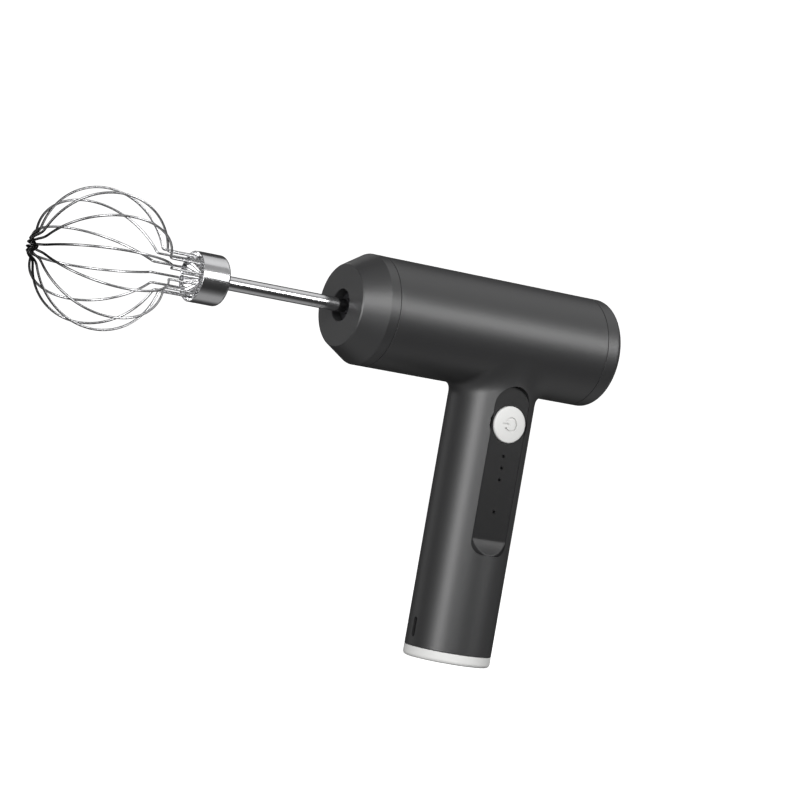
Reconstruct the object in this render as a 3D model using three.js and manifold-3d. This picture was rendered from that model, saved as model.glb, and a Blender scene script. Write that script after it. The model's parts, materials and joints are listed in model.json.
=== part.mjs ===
// Cordless hand mixer: a horizontal barrel on a straight handle, with a ball whisk that plugs in.
// Millimetres, +Z up.  The origin is the middle of the flat base, the whisk points along -X,
// and the control panel faces -Y.

import * as THREE from "three";
import { mergeVertices } from "three/addons/utils/BufferGeometryUtils.js";
import { ParametricGeometry } from "three/addons/geometries/ParametricGeometry.js";
import Module from "manifold-3d";

const wasm = await Module();
wasm.setup();

// ---------------------------------------------------------------- driving dimensions

const GAP = 0.3; // clearance between neighbouring pieces
const DEGREE = Math.PI / 180;

// casing
const AXIS_HEIGHT = 138;
const BARREL_RADIUS = 23;
const BARREL_BORE = 20.8;
const HANDLE_RADIUS = 18.4;
const HANDLE_BORE = 15.2;
const FILLET = 5.5;
const FRONT_SEAM = -65.7;
const REAR_SEAM = 38.6;
const BASE_SEAM = 4.6;
const SKIRT_RADIUS = 20.4; // the caps' rims, inside the barrel
const SKIRT_WALL = 1.8;
const SKIRT_LENGTH = 5.6;

// nose and rear caps
const NOSE_FACE = -80.4;
const NOSE_FACE_RADIUS = 17.4;
const NOSE_SHOULDER = -70.2;
const NOSE_HOLE = 6.64;
const NOSE_BOSS = 10;
const NOSE_BOSS_END = -62.5;
const REAR_END = 46.4;
const REAR_ROUNDING = 3.1;
const CAP_WALL = 2.2;

// control panel and what is behind it, as distances outward from the handle's axis
const PANEL_FACE = 16.3;
const PANEL_BACK = 14.9;
const PANEL_HALF_WIDTH = 8.5;
const PANEL_BOTTOM = 47;
const PANEL_TOP = 118;
const PANEL_CORNER = 5;
const WINDOW_HALF_WIDTH = 6.5;
const BUTTON_HEIGHT = 102;
const BUTTON_RADIUS = 7.7;
const BUTTON_FACE = 17.8;
const BUTTON_FLANGE = 8.9;
const LIGHT_HEIGHTS = [88.6, 83.7, 78.7, 65.2];
const LIGHT_HOLE = 0.7;
const GUIDE_BOTTOM = 62;
const GUIDE_TOP = 91;
const BOARD_FACE = 10;
const BOARD_BACK = 8.8;
const BOARD_HALF_WIDTH = 10;
const BOARD_BOTTOM = 22;
const BOARD_TOP = 114;

// charging socket
const PORT_HEIGHT = 12.5;
const PORT_LENGTH = 8.4;
const PORT_WIDTH = 2.2;
const PORT_FRONT = -14.9;
const PORT_DEPTH = 5.6;

// battery
const CELL_RADIUS = 9;
const CELL_BOTTOM = 24;
const CELL_TOP = 89;
const CELL_OFFSET = 4;
const CRADLE_WALL = 1.4;

// drive train, as places along the barrel
const MODULE = 0.6;
const PRESSURE_ANGLE = 20 * DEGREE;
const SUN_TEETH = 15;
const PLANET_TEETH = 15;
const RING_TEETH = SUN_TEETH + 2 * PLANET_TEETH;
const TOOTH_TIP = 0.5;
const TOOTH_ROOT = 0.7;
const TOOTH_EASE = 0.06;
const PLANET_ORBIT = (MODULE * (SUN_TEETH + PLANET_TEETH)) / 2;
const PLANET_COUNT = 3;
const PIN_RADIUS = 1.5;
const GEARS_FRONT = -19.4;
const GEARS_REAR = -13.4;
const CARRIER_FRONT = -22.5;
const CARRIER_REAR = -20;
const GEARBOX_RADIUS = 17.2;
const GEARBOX_BORE = 15.2;
const FLANGE_RADIUS = 20.2;
const FLANGE_SCREW_CIRCLE = 18.6;
const PLATE_FRONT = -32;
const PLATE_REAR = -29.3;
const GEARBOX_FRONT = -29;
const FLANGE_REAR = -26.5;
const GEARBOX_REAR = -9.5;
const SPINDLE_RADIUS = 4.4;
const SPINDLE_FRONT = -61.7;
const SOCKET_RADIUS = 6;
const SOCKET_FRONT = -77;
const SOCKET_REAR = -58.3;

// motor
const MOTOR_RADIUS = 14;
const MOTOR_FRONT = -9.2;
const MOTOR_REAR = 33.5;
const MOTOR_SHAFT = 1.5;
const MOTOR_SCREW_CIRCLE = 8;
const BRUSH_PLACE = MOTOR_REAR - 4.5;
const FLUX_FRONT = MOTOR_FRONT + 4.2;
const FLUX_REAR = MOTOR_REAR - 11.5;
const ARMATURE_RADIUS = 9;
const ARMATURE_POLES = 5;
const ARMATURE_FRONT = MOTOR_FRONT + 8.2;
const ARMATURE_REAR = MOTOR_REAR - 11.5;

// whisk
const SHAFT_RADIUS = 2.9;
const SHAFT_WALL = 0.6;
const SHAFT_FRONT = -143.4;
const SHAFT_SHOULDER = -53.4;
const NECK_RADIUS = 1.45; // the groove behind the shaft's snap tip
const NECK_REAR = -50.2;
const BEAD_RADIUS = 2.1;
const BEAD_FRONT = -49.4;
const BEAD_REAR = -48;
const SHAFT_TIP = -46.4;
const CLIP_FRONT = -51.1; // the spring ring that holds the tip
const CLIP_REAR = -50.3;
const TAB_FRONT = -76;
const TAB_LENGTH = 11.6;
const TAB_WIDTH = 8.7;
const TAB_THICKNESS = 1.6;
const FERRULE_FRONT = -149.9;
const FERRULE_REAR = -137.2;
const FERRULE_RADIUS = 10.25;
const FERRULE_WALL = 0.6;
const CORE_FRONT = -149.4;
const CORE_RADIUS = 7.4;
const CORE_FLOOR = -145; // the bottom of the recess in the core's front
const CORE_FLOOR_RADIUS = 3;
const CORE_WALL = 0.8;
const WIRE_RADIUS = 0.5;
const WIRE_CIRCLE = 8.3; // where the wires run straight into the ferrule
const WIRE_END = -140.5;
const BALL_CENTRE = -190.2;
const BALL_RADIUS = 27.75;
const HOOP_COUNT = 6;
const HOOP_TURN = -8 * DEGREE; // the first hoop's plane, from upright
const HOOP_STEP = 1.15; // each hoop crosses the axis this far behind the one before it
const CROSSING_DEPTH = 30; // from the ball's centre to the first hoop's crossing
const LIP_RADIUS = 3.8; // round the crossing each hoop bulges out a little
const LIP_DEPTH = 30.6;
const LIP_STEP = 0.8;
const LIP_SHOULDER = 1.4; // where the bulge begins, in lip radii

// ---------------------------------------------------------------- materials

function finish(colour, roughness, metalness = 0) {
  return new THREE.MeshStandardMaterial({ color: colour, roughness, metalness });
}

const CHARCOAL = finish(0x4a4a4d, 0.55);
const PANEL_BLACK = finish(0x303034, 0.4);
const WHITE = finish(0xe6e6e2, 0.4);
const CLEAR = finish(0xd8dde0, 0.2);
const CHROME = finish(0xc8cacc, 0.12, 1);
const STEEL = finish(0xa9abad, 0.3, 1);
const CAN_STEEL = finish(0x8f9296, 0.4, 1);
const BRONZE = finish(0x9a7440, 0.45, 1);
const NYLON = finish(0xd9d5c8, 0.5);
const BLACK_PLASTIC = finish(0x1c1c1e, 0.5);
const MAGNET_GREY = finish(0x3a3a3c, 0.7);
const COPPER = finish(0xb4642f, 0.35, 1);
const BOARD_GREEN = finish(0x1f5a36, 0.5);
const CELL_BLUE = finish(0x2a5f9e, 0.4);
const RED = finish(0xb3201c, 0.5);
const BLACK = finish(0x141414, 0.5);
const RUBBER = finish(0x222222, 0.8);

// ---------------------------------------------------------------- solids

/** Merges a closed geometry's vertices and makes it a solid that can be joined and cut. */
function solid(geometry) {
  const bare = geometry.index ? geometry.toNonIndexed() : geometry.clone();
  bare.deleteAttribute("normal");
  bare.deleteAttribute("uv");
  const welded = mergeVertices(bare, 1e-4);
  const points = welded.attributes.position;
  const corner = [new THREE.Vector3(), new THREE.Vector3(), new THREE.Vector3()];
  const triangles = [];
  let volume = 0;
  for (let i = 0; i < welded.index.count; i += 3) {
    const [a, b, c] = [0, 1, 2].map((k) => welded.index.getX(i + k));
    if (a === b || b === c || c === a) continue; // collapsed at a pole
    triangles.push(a, b, c);
    [a, b, c].forEach((index, k) => corner[k].fromBufferAttribute(points, index));
    volume += corner[0].dot(corner[1].cross(corner[2]));
  }
  if (volume < 0) triangles.reverse(); // turns every face the other way round
  const mesh = { numProp: 3, vertProperties: points.array, triVerts: Uint32Array.from(triangles) };
  return new wasm.Manifold(new wasm.Mesh(mesh));
}

function join(...shapes) {
  return shapes.reduce((whole, shape) => whole.add(shape));
}

function cut(shape, ...tools) {
  return tools.reduce((left, tool) => left.subtract(tool), shape);
}

/** Adds one named piece to a group. */
function piece(parent, name, shape, material) {
  const { vertProperties, triVerts } = shape.getMesh();
  const geometry = new THREE.BufferGeometry();
  geometry.setAttribute("position", new THREE.BufferAttribute(vertProperties, 3));
  geometry.setIndex(new THREE.BufferAttribute(triVerts, 1));
  geometry.computeVertexNormals();
  const mesh = new THREE.Mesh(geometry, material);
  mesh.name = name;
  parent.add(mesh);
  return mesh;
}

/** Turns a profile of [radius, place along Z] points about the Z axis. */
function turnedGeometry(profile, sides) {
  const points = profile.map(([radius, along]) => new THREE.Vector2(radius, along));
  return new THREE.LatheGeometry(points, sides).rotateX(Math.PI / 2);
}

function turned(profile, sides = 32) {
  return solid(turnedGeometry(profile, sides));
}

function rodProfile(radius, from, to) {
  return [[0, from], [radius, from], [radius, to], [0, to]];
}

function ringProfile(inner, outer, from, to) {
  return [[inner, from], [outer, from], [outer, to], [inner, to], [inner, from]];
}

function rod(radius, from, to, sides = 24) {
  return turned(rodProfile(radius, from, to), sides);
}

function ring(inner, outer, from, to, sides = 32) {
  return turned(ringProfile(inner, outer, from, to), sides);
}

/** A rod parallel to Z, standing at x, y. */
function rodAt(x, y, radius, from, to, sides = 16) {
  return solid(turnedGeometry(rodProfile(radius, from, to), sides).translate(x, y, 0));
}

/** Extrudes an outline, with any holes, along Z. */
function plateGeometry(outline, from, to, holes = []) {
  const shape = new THREE.Shape(outline);
  shape.holes = holes.map((hole) => new THREE.Path(hole));
  const depth = to - from;
  return new THREE.ExtrudeGeometry(shape, { depth, bevelEnabled: false }).translate(0, 0, from);
}

function plate(outline, from, to, holes) {
  return solid(plateGeometry(outline, from, to, holes));
}

/** A box between two corners. */
function block(low, high) {
  const size = high.map((value, k) => value - low[k]);
  const middle = high.map((value, k) => (value + low[k]) / 2);
  return solid(new THREE.BoxGeometry(...size).translate(...middle));
}

/** Points of an arc about x, y, both ends included. */
function arc(x, y, radius, fromAngle, toAngle, steps) {
  return Array.from({ length: steps + 1 }, (_, i) => {
    const angle = fromAngle + ((toAngle - fromAngle) * i) / steps;
    return new THREE.Vector2(x + radius * Math.cos(angle), y + radius * Math.sin(angle));
  });
}

function circle(radius, x = 0, y = 0, sides = 24) {
  return arc(x, y, radius, 0, 2 * Math.PI * (1 - 1 / sides), sides - 1);
}

/** An upright slot with round ends, or a rectangle with rounded corners. */
function roundedOutline(halfWidth, bottom, top, bottomRadius, topRadius, steps) {
  const [right, left] = [halfWidth, -halfWidth];
  return [
    ...arc(right - topRadius, top - topRadius, topRadius, 0, Math.PI / 2, steps),
    ...arc(left + topRadius, top - topRadius, topRadius, Math.PI / 2, Math.PI, steps),
    ...arc(left + bottomRadius, bottom + bottomRadius, bottomRadius, Math.PI, 1.5 * Math.PI, steps),
    ...arc(right - bottomRadius, bottom + bottomRadius, bottomRadius, -Math.PI / 2, 0, steps),
  ].filter((point, i, all) => point.distanceTo(all[(i + 1) % all.length]) > 1e-3);
}

/** A route through points, sampled exactly at them. */
class Route extends THREE.Curve {
  constructor(points) {
    super();
    this.points = points;
  }

  getPoint(t) {
    return this.points[Math.round(t * (this.points.length - 1))].clone();
  }

  getPointAt(u) {
    return this.getPoint(u);
  }

  getTangentAt(u) {
    const last = this.points.length - 1;
    const i = Math.round(u * last);
    const before = this.points[Math.max(i - 1, 0)];
    const after = this.points[Math.min(i + 1, last)];
    return after.clone().sub(before).normalize();
  }
}

/** A round wire through points. */
function wire(points, radius, sides = 6) {
  const steps = points.length - 1;
  const section = new THREE.Shape(circle(radius, 0, 0, sides));
  return solid(new THREE.ExtrudeGeometry(section, { steps, extrudePath: new Route(points) }));
}

/** Points of a smooth lead through a few places. */
function leadPoints(places, steps) {
  return new THREE.CatmullRomCurve3(places.map((place) => new THREE.Vector3(...place))).getPoints(steps);
}

// ---------------------------------------------------------------- frames of reference

/** The barrel's frame: its local Z runs along the object's X, from the whisk to the rear. */
function barrelFrame() {
  const group = new THREE.Group();
  group.position.z = AXIS_HEIGHT;
  group.rotation.y = Math.PI / 2;
  return group;
}

/** The panel's frame: local X stays, local Y is the object's height, local Z points out at -Y. */
function panelFrame() {
  const group = new THREE.Group();
  group.rotation.x = Math.PI / 2;
  return group;
}

function alongBarrel(geometry) {
  return solid(geometry.rotateY(Math.PI / 2).translate(0, 0, AXIS_HEIGHT));
}

function outFromPanel(geometry) {
  return solid(geometry.rotateX(Math.PI / 2));
}

// ---------------------------------------------------------------- casing

const CASING_SIDES = 40;

/** How far the barrel's underside lies below its axis, above a point out from the handle's axis. */
function barrelDrop(distance, angle) {
  return Math.sqrt(BARREL_RADIUS ** 2 - (distance * Math.sin(angle)) ** 2);
}

/** The handle's outside, flaring into the barrel's underside with a fillet that follows it round. */
function handleColumn(bottom) {
  const filletSteps = 4;
  const rows = filletSteps + 5;
  const corner = HANDLE_RADIUS;
  const surface = (u, v, target) => {
    const angle = 2 * Math.PI * u;
    const row = Math.round(v * rows);
    const cornerHeight = AXIS_HEIGHT - barrelDrop(corner, angle);
    let radius = row === 0 || row === rows ? 0 : corner;
    let height = row < 2 ? bottom : AXIS_HEIGHT;
    if (row >= 2 && row <= filletSteps + 2) {
      const slope = (corner * Math.sin(angle) ** 2) / barrelDrop(corner, angle);
      const reach = corner + FILLET / Math.hypot(1, slope);
      const t = (row - 2) / filletSteps;
      const [a, b, c] = [(1 - t) ** 2, 2 * t * (1 - t), t ** 2];
      radius = (a + b) * corner + c * reach;
      const end = AXIS_HEIGHT - barrelDrop(reach, angle);
      height = a * (cornerHeight - FILLET) + b * cornerHeight + c * end;
    } else if (row === filletSteps + 3) {
      height = AXIS_HEIGHT - BARREL_RADIUS / 4;
    } else if (row === filletSteps + 4) {
      radius = corner / 2;
    }
    target.set(radius * Math.cos(angle), radius * Math.sin(angle), height);
  };
  return solid(new ParametricGeometry(surface, CASING_SIDES, rows));
}

function panelOutline(halfWidth, grow) {
  const corner = PANEL_CORNER + grow;
  return roundedOutline(halfWidth, PANEL_BOTTOM - grow, PANEL_TOP + grow, corner, halfWidth, 5);
}

function mainHousing() {
  const shoulder = FLANGE_REAR + GAP;
  const front = FRONT_SEAM + GAP / 2;
  const rear = REAR_SEAM - GAP / 2;
  const bottom = BASE_SEAM + GAP / 2;
  const outside = join(
    alongBarrel(turnedGeometry(rodProfile(BARREL_RADIUS, front, rear), CASING_SIDES)),
    handleColumn(bottom),
  );
  const recess = panelOutline(PANEL_HALF_WIDTH + GAP, GAP);
  const window = roundedOutline(WINDOW_HALF_WIDTH, PANEL_BOTTOM + 3, BUTTON_HEIGHT, 3, 3, 3);
  const hollow = [
    alongBarrel(turnedGeometry(rodProfile(BARREL_BORE, front - 1, rear + 1), CASING_SIDES)),
    rod(HANDLE_BORE, bottom - 1, AXIS_HEIGHT, CASING_SIDES),
    outFromPanel(plateGeometry(recess, PANEL_BACK - GAP, BARREL_RADIUS)),
    outFromPanel(plateGeometry(window, BOARD_FACE, PANEL_FACE)),
    outFromPanel(plateGeometry(circle(BUTTON_FLANGE + 0.4, 0, BUTTON_HEIGHT, 24), BOARD_FACE, PANEL_FACE)),
    portSlot(),
  ];
  const rib = turnedGeometry(ringProfile(18.2, BARREL_BORE + 0.5, shoulder, shoulder + 2), CASING_SIDES);
  return join(cut(outside, ...hollow), alongBarrel(rib));
}

function portSlot() {
  const half = PORT_LENGTH / 2;
  const radius = PORT_WIDTH / 2;
  const outline = roundedOutline(radius, -half, half, radius, radius, 4);
  const geometry = plateGeometry(outline, 0, HANDLE_RADIUS).rotateY(-Math.PI / 2);
  return solid(geometry.rotateX(Math.PI / 2).translate(-HANDLE_BORE / 2, 0, PORT_HEIGHT));
}

function noseCap() {
  const bevel = 0.5;
  const seam = FRONT_SEAM - GAP / 2;
  const inner = SKIRT_RADIUS - SKIRT_WALL;
  const back = NOSE_FACE + CAP_WALL + 0.4;
  const seat = NOSE_HOLE + 2;
  return turned([
    [NOSE_HOLE, NOSE_FACE],
    [NOSE_FACE_RADIUS - bevel, NOSE_FACE],
    [NOSE_FACE_RADIUS, NOSE_FACE + bevel],
    [BARREL_RADIUS, NOSE_SHOULDER],
    [BARREL_RADIUS, seam],
    [SKIRT_RADIUS, seam],
    [SKIRT_RADIUS, seam + SKIRT_LENGTH],
    [inner, seam + SKIRT_LENGTH],
    [inner, NOSE_SHOULDER],
    [NOSE_FACE_RADIUS - 3, back],
    [NOSE_BOSS, back],
    [NOSE_BOSS, NOSE_BOSS_END],
    [seat, NOSE_BOSS_END],
    [seat, NOSE_BOSS_END - 3.5],
    [NOSE_HOLE, NOSE_BOSS_END - 3.5],
    [NOSE_HOLE, NOSE_FACE],
  ], 30);
}

function rearCap() {
  const seam = REAR_SEAM + GAP / 2;
  const inner = SKIRT_RADIUS - SKIRT_WALL;
  const bend = REAR_ROUNDING;
  const rounding = arc(BARREL_RADIUS - bend, REAR_END - bend, bend, 0, Math.PI / 2, 4);
  return turned([
    [SKIRT_RADIUS, seam],
    ...rounding.map((point) => [point.x, point.y]),
    [0, REAR_END],
    [0, REAR_END - CAP_WALL],
    [inner - REAR_ROUNDING, REAR_END - CAP_WALL],
    [inner, REAR_END - CAP_WALL - REAR_ROUNDING],
    [inner, seam - SKIRT_LENGTH],
    [SKIRT_RADIUS, seam - SKIRT_LENGTH],
    [SKIRT_RADIUS, seam],
  ].reverse(), 30);
}

function baseCap() {
  const top = BASE_SEAM - GAP / 2;
  const rounding = 1.6;
  const edge = arc(HANDLE_RADIUS - rounding, rounding, rounding, -Math.PI / 2, 0, 3);
  const plug = HANDLE_BORE - GAP;
  return turned([
    [0, 0],
    ...edge.map((point) => [point.x, point.y]),
    [HANDLE_RADIUS, top],
    [plug, top],
    [plug, top + 3],
    [plug - SKIRT_WALL, top + 3],
    [plug - SKIRT_WALL, CAP_WALL],
    [0, CAP_WALL],
  ], 32);
}

function noseSeal() {
  return ring(SOCKET_RADIUS + GAP, NOSE_HOLE + 2 - GAP, NOSE_BOSS_END - 3.2, NOSE_BOSS_END - 0.5);
}

function addCasing(object, barrel) {
  piece(object, "main_housing", mainHousing(), CHARCOAL);
  piece(object, "base_cap", baseCap(), WHITE);
  piece(barrel, "nose_cap", noseCap(), CHARCOAL);
  piece(barrel, "rear_cap", rearCap(), CHARCOAL);
  piece(barrel, "nose_seal", noseSeal(), RUBBER);
}

// ---------------------------------------------------------------- controls

function controlPanel() {
  const lights = LIGHT_HEIGHTS.map((height) => circle(LIGHT_HOLE, 0, height, 8));
  const button = circle(BUTTON_RADIUS + GAP, 0, BUTTON_HEIGHT, 28);
  return plate(panelOutline(PANEL_HALF_WIDTH, 0), PANEL_BACK, PANEL_FACE, [button, ...lights]);
}

function lightGuide() {
  const back = PANEL_BACK - 1.6;
  const front = PANEL_BACK - 0.4;
  const strip = roundedOutline(2.5, GUIDE_BOTTOM, GUIDE_TOP, 1, 1, 2);
  const postRadius = LIGHT_HOLE - 0.25;
  const posts = LIGHT_HEIGHTS.map((height) => rodAt(0, height, postRadius, front - 0.2, PANEL_FACE - 0.1, 8));
  return join(plate(strip, back, front), ...posts);
}

/** The button's cap, with a flange that keeps it behind the panel and a post over the switch. */
function powerButton() {
  const flangeFront = PANEL_BACK - 0.3;
  const back = flangeFront - 0.7;
  return solid(turnedGeometry([
    [0, BUTTON_FACE],
    [BUTTON_RADIUS - 1, BUTTON_FACE - 0.12],
    [BUTTON_RADIUS - 0.3, BUTTON_FACE - 0.4],
    [BUTTON_RADIUS, BUTTON_FACE - 0.9],
    [BUTTON_RADIUS, flangeFront],
    [BUTTON_FLANGE, flangeFront],
    [BUTTON_FLANGE, back],
    [BUTTON_RADIUS - 1.4, back],
    [BUTTON_RADIUS - 1.4, BUTTON_FACE - 1.6],
    [2.4, BUTTON_FACE - 1.6],
    [2.4, back],
    [0, back],
  ].reverse(), 24).translate(0, BUTTON_HEIGHT, 0));
}

function switchBody() {
  const half = 3;
  const front = BOARD_FACE + 3;
  const body = block([-half, BUTTON_HEIGHT - half, BOARD_FACE + GAP], [half, BUTTON_HEIGHT + half, front]);
  return cut(body, rodAt(0, BUTTON_HEIGHT, 2.1, front - 1.3, front + 1));
}

/** The board with its four soldered lamps. */
function controlBoard() {
  const board = plate(
    roundedOutline(BOARD_HALF_WIDTH, BOARD_BOTTOM, BOARD_TOP, 1.5, 1.5, 2),
    BOARD_BACK,
    BOARD_FACE,
  );
  const lamps = LIGHT_HEIGHTS.map((height) => {
    return block([-0.8, height - 0.5, BOARD_BACK + 0.5], [0.8, height + 0.5, BOARD_FACE + 1.4]);
  });
  return join(board, ...lamps);
}

function addControls(object, panel) {
  piece(panel, "control_panel", controlPanel(), PANEL_BLACK);
  piece(panel, "light_guide", lightGuide(), CLEAR);
  piece(panel, "power_button", powerButton(), WHITE);
  const plunger = rodAt(0, BUTTON_HEIGHT, 1.75, BOARD_FACE + 2.5, BOARD_FACE + 3.6);
  piece(panel, "switch_plunger", plunger, BLACK_PLASTIC);
  piece(panel, "tact_switch", switchBody(), BLACK_PLASTIC);
  piece(panel, "control_board", controlBoard(), BOARD_GREEN);
  addCharging(object);
}

/** The charging socket faces -X, with its long side upright, and sits on a small board of its own. */
function addCharging(object) {
  const half = PORT_LENGTH / 2 + 0.2;
  const thick = PORT_WIDTH / 2 + 0.3;
  const [low, high] = [PORT_HEIGHT - half, PORT_HEIGHT + half];
  const back = PORT_FRONT + PORT_DEPTH;
  const shell = cut(
    block([PORT_FRONT, -thick, low], [back, thick, high]),
    block([PORT_FRONT - 1, GAP - thick, low + GAP], [back - 0.5, thick - GAP, high - GAP]),
  );
  const tongue = block([PORT_FRONT + 0.8, -0.35, low + 1.5], [back - 0.2, 0.35, high - 1.5]);
  piece(object, "usb_port", join(shell, tongue), STEEL);
  const boardFace = thick + GAP;
  piece(object, "charge_board", block([-14, boardFace, 9], [-5, boardFace + 1, 19.5]), BOARD_GREEN);
  const places = [[-6.5, 0.9, 18.2], [-6.2, -3, 18.2], [-5.5, -6.6, 19.3], [-5.3, -7.6, 22.5], [-5.3, -7.9, 27]];
  piece(object, "charge_lead", wire(leadPoints(places, 10), 0.5), RED);
}

// ---------------------------------------------------------------- battery

/** A round cell with a raised terminal on top. */
function batteryCell() {
  const edge = 0.6;
  const profile = [
    [0, CELL_BOTTOM],
    [CELL_RADIUS - edge, CELL_BOTTOM],
    [CELL_RADIUS, CELL_BOTTOM + edge],
    [CELL_RADIUS, CELL_TOP - 4],
    [CELL_RADIUS - edge, CELL_TOP - 3.4],
    [CELL_RADIUS, CELL_TOP - 2.8],
    [CELL_RADIUS - edge, CELL_TOP - 1],
    [3.2, CELL_TOP - 1],
    [3.2, CELL_TOP],
    [0, CELL_TOP],
  ];
  return solid(turnedGeometry(profile, 20).translate(0, CELL_OFFSET, 0));
}

/** A U-shaped tray open towards the board, with a floor and a roof for the cell. */
function batteryCradle() {
  const inner = CELL_RADIUS + 0.4;
  const outer = inner + CRADLE_WALL;
  const [bottom, top] = [CELL_BOTTOM - 3, CELL_TOP + 3];
  const wallEnd = -BOARD_BACK + GAP;
  const outline = (radius, end) => [
    new THREE.Vector2(radius, end),
    ...arc(0, CELL_OFFSET, radius, 0, Math.PI, 12),
    new THREE.Vector2(-radius, end),
  ];
  const tray = plate(outline(outer, wallEnd), bottom, top);
  const space = plate(outline(inner, wallEnd - 1), bottom + 1.5, top - 1.5);
  const leadWay = block([-7.5, wallEnd - 1, bottom - 1], [-3.8, -5.6, bottom + 3]);
  return cut(tray, space, leadWay);
}

function addBattery(object) {
  piece(object, "battery_cell", batteryCell(), CELL_BLUE);
  piece(object, "battery_cradle", batteryCradle(), BLACK_PLASTIC);
  const tabHeights = { battery_tab_bottom: CELL_BOTTOM - 0.9, battery_tab_top: CELL_TOP + 0.4 };
  for (const [name, height] of Object.entries(tabHeights)) {
    const strip = block([-3, GAP - BOARD_BACK, height], [3, CELL_OFFSET + 3, height + 0.5]);
    piece(object, name, strip, STEEL);
  }
}

// ---------------------------------------------------------------- gears

/** The outline of an involute gear.  A positive ease thins its teeth, a negative one widens them. */
function gearOutline(teeth, tip, root, ease) {
  const pitch = (MODULE * teeth) / 2;
  const base = pitch * Math.cos(PRESSURE_ANGLE);
  const involute = (angle) => Math.tan(angle) - angle;
  const halfAngle = (radius) => {
    const reach = Math.acos(base / Math.max(radius, base));
    return Math.PI / (2 * teeth) - ease / pitch + involute(PRESSURE_ANGLE) - involute(reach);
  };
  const radii = [pitch - root, pitch + tip];
  const at = (radius, angle) => new THREE.Vector2(radius * Math.cos(angle), radius * Math.sin(angle));
  return Array.from({ length: teeth }, (_, i) => {
    const middle = (2 * Math.PI * i) / teeth;
    const rising = radii.map((radius) => at(radius, middle - halfAngle(radius)));
    const falling = radii.toReversed().map((radius) => at(radius, middle + halfAngle(radius)));
    return [...rising, ...falling];
  }).flat();
}

function gear(teeth, bore, from, to) {
  return plate(gearOutline(teeth, TOOTH_TIP, TOOTH_ROOT, TOOTH_EASE), from, to, [circle(bore, 0, 0, 12)]);
}

/** A cup with the ring gear cut in it, a flange in front and the motor's seat behind. */
function gearboxHousing() {
  const toothedFront = CARRIER_REAR + 0.2;
  const toothedRear = GEARS_REAR + 1.2;
  const cup = turned([
    [0, GEARBOX_FRONT],
    [FLANGE_RADIUS, GEARBOX_FRONT],
    [FLANGE_RADIUS, FLANGE_REAR],
    [GEARBOX_RADIUS, FLANGE_REAR],
    [GEARBOX_RADIUS, GEARBOX_REAR],
    [0, GEARBOX_REAR],
  ], 28);
  const teeth = gearOutline(RING_TEETH, TOOTH_ROOT, TOOTH_TIP, -TOOTH_EASE);
  const motorSeat = rod(5, toothedRear - 1, GEARBOX_REAR + 1);
  const counterbores = motorScrewPlaces().flatMap(([x, y]) => [
    rodAt(x, y, 2.6, toothedRear - 1, toothedRear + 1.4, 12),
    rodAt(x, y, 1.5, toothedRear, GEARBOX_REAR + 1, 8),
  ]);
  const wide = rod(GEARBOX_BORE, GEARBOX_FRONT - 1, toothedFront, 28);
  const toothed = plate(teeth, toothedFront - 1, toothedRear);
  return cut(cup, wide, toothed, motorSeat, ...counterbores, ...flangeHoles());
}

function flangeScrewPlaces() {
  return [0, 1, 2].map((third) => {
    const angle = third * 120 * DEGREE;
    return [FLANGE_SCREW_CIRCLE * Math.cos(angle), FLANGE_SCREW_CIRCLE * Math.sin(angle)];
  });
}

function motorScrewPlaces() {
  return [[0, MOTOR_SCREW_CIRCLE], [0, -MOTOR_SCREW_CIRCLE]];
}

function flangeHoles() {
  return flangeScrewPlaces().map(([x, y]) => rodAt(x, y, 1.1, PLATE_FRONT - 1, FLANGE_REAR + 1, 8));
}

/** The gearbox's front plate, with a snout that holds the two output bushes. */
function gearboxPlate() {
  const snoutFront = SOCKET_REAR + GAP;
  const bore = SPINDLE_RADIUS + GAP + 2.5;
  const profile = [
    [bore, snoutFront],
    [bore + 1.5, snoutFront],
    [bore + 1.5, PLATE_FRONT],
    [FLANGE_RADIUS, PLATE_FRONT],
    [FLANGE_RADIUS, PLATE_REAR],
    [bore, PLATE_REAR],
    [bore, snoutFront],
  ];
  return cut(turned(profile, 28), ...flangeHoles());
}

function panScrew(x, y, head, shank, headFront, headRear, tip) {
  return solid(turnedGeometry([
    [0, headFront],
    [head, headFront + 0.3],
    [head, headRear],
    [shank, headRear],
    [shank, tip],
    [0, tip],
  ], 8).translate(x, y, 0));
}

function addGearbox(barrel) {
  piece(barrel, "gearbox_housing", gearboxHousing(), NYLON);
  piece(barrel, "gearbox_plate", gearboxPlate(), BLACK_PLASTIC);
  const inner = SPINDLE_RADIUS + GAP;
  const bushLength = 6;
  const bushFronts = { output_bush_front: SOCKET_REAR + 2 * GAP, output_bush_rear: PLATE_REAR - bushLength - GAP };
  for (const [name, front] of Object.entries(bushFronts)) {
    piece(barrel, name, ring(inner, inner + 2.2, front, front + bushLength, 20), BRONZE);
  }
  flangeScrewPlaces().forEach(([x, y], i) => {
    const shape = panScrew(x, y, 1.6, 0.8, PLATE_FRONT - 1.6, PLATE_FRONT - GAP, FLANGE_REAR - 0.5);
    piece(barrel, `gearbox_screw_${i + 1}`, shape, STEEL);
  });
  motorScrewPlaces().forEach(([x, y], i) => {
    const seat = GEARS_REAR + 2.6;
    const shape = panScrew(x, y, 2.3, 1.2, seat - 1.2, seat - GAP, MOTOR_FRONT + 2.6);
    piece(barrel, `motor_screw_${i + 1}`, shape, STEEL);
  });
}

// ---------------------------------------------------------------- output drive and planets

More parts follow.
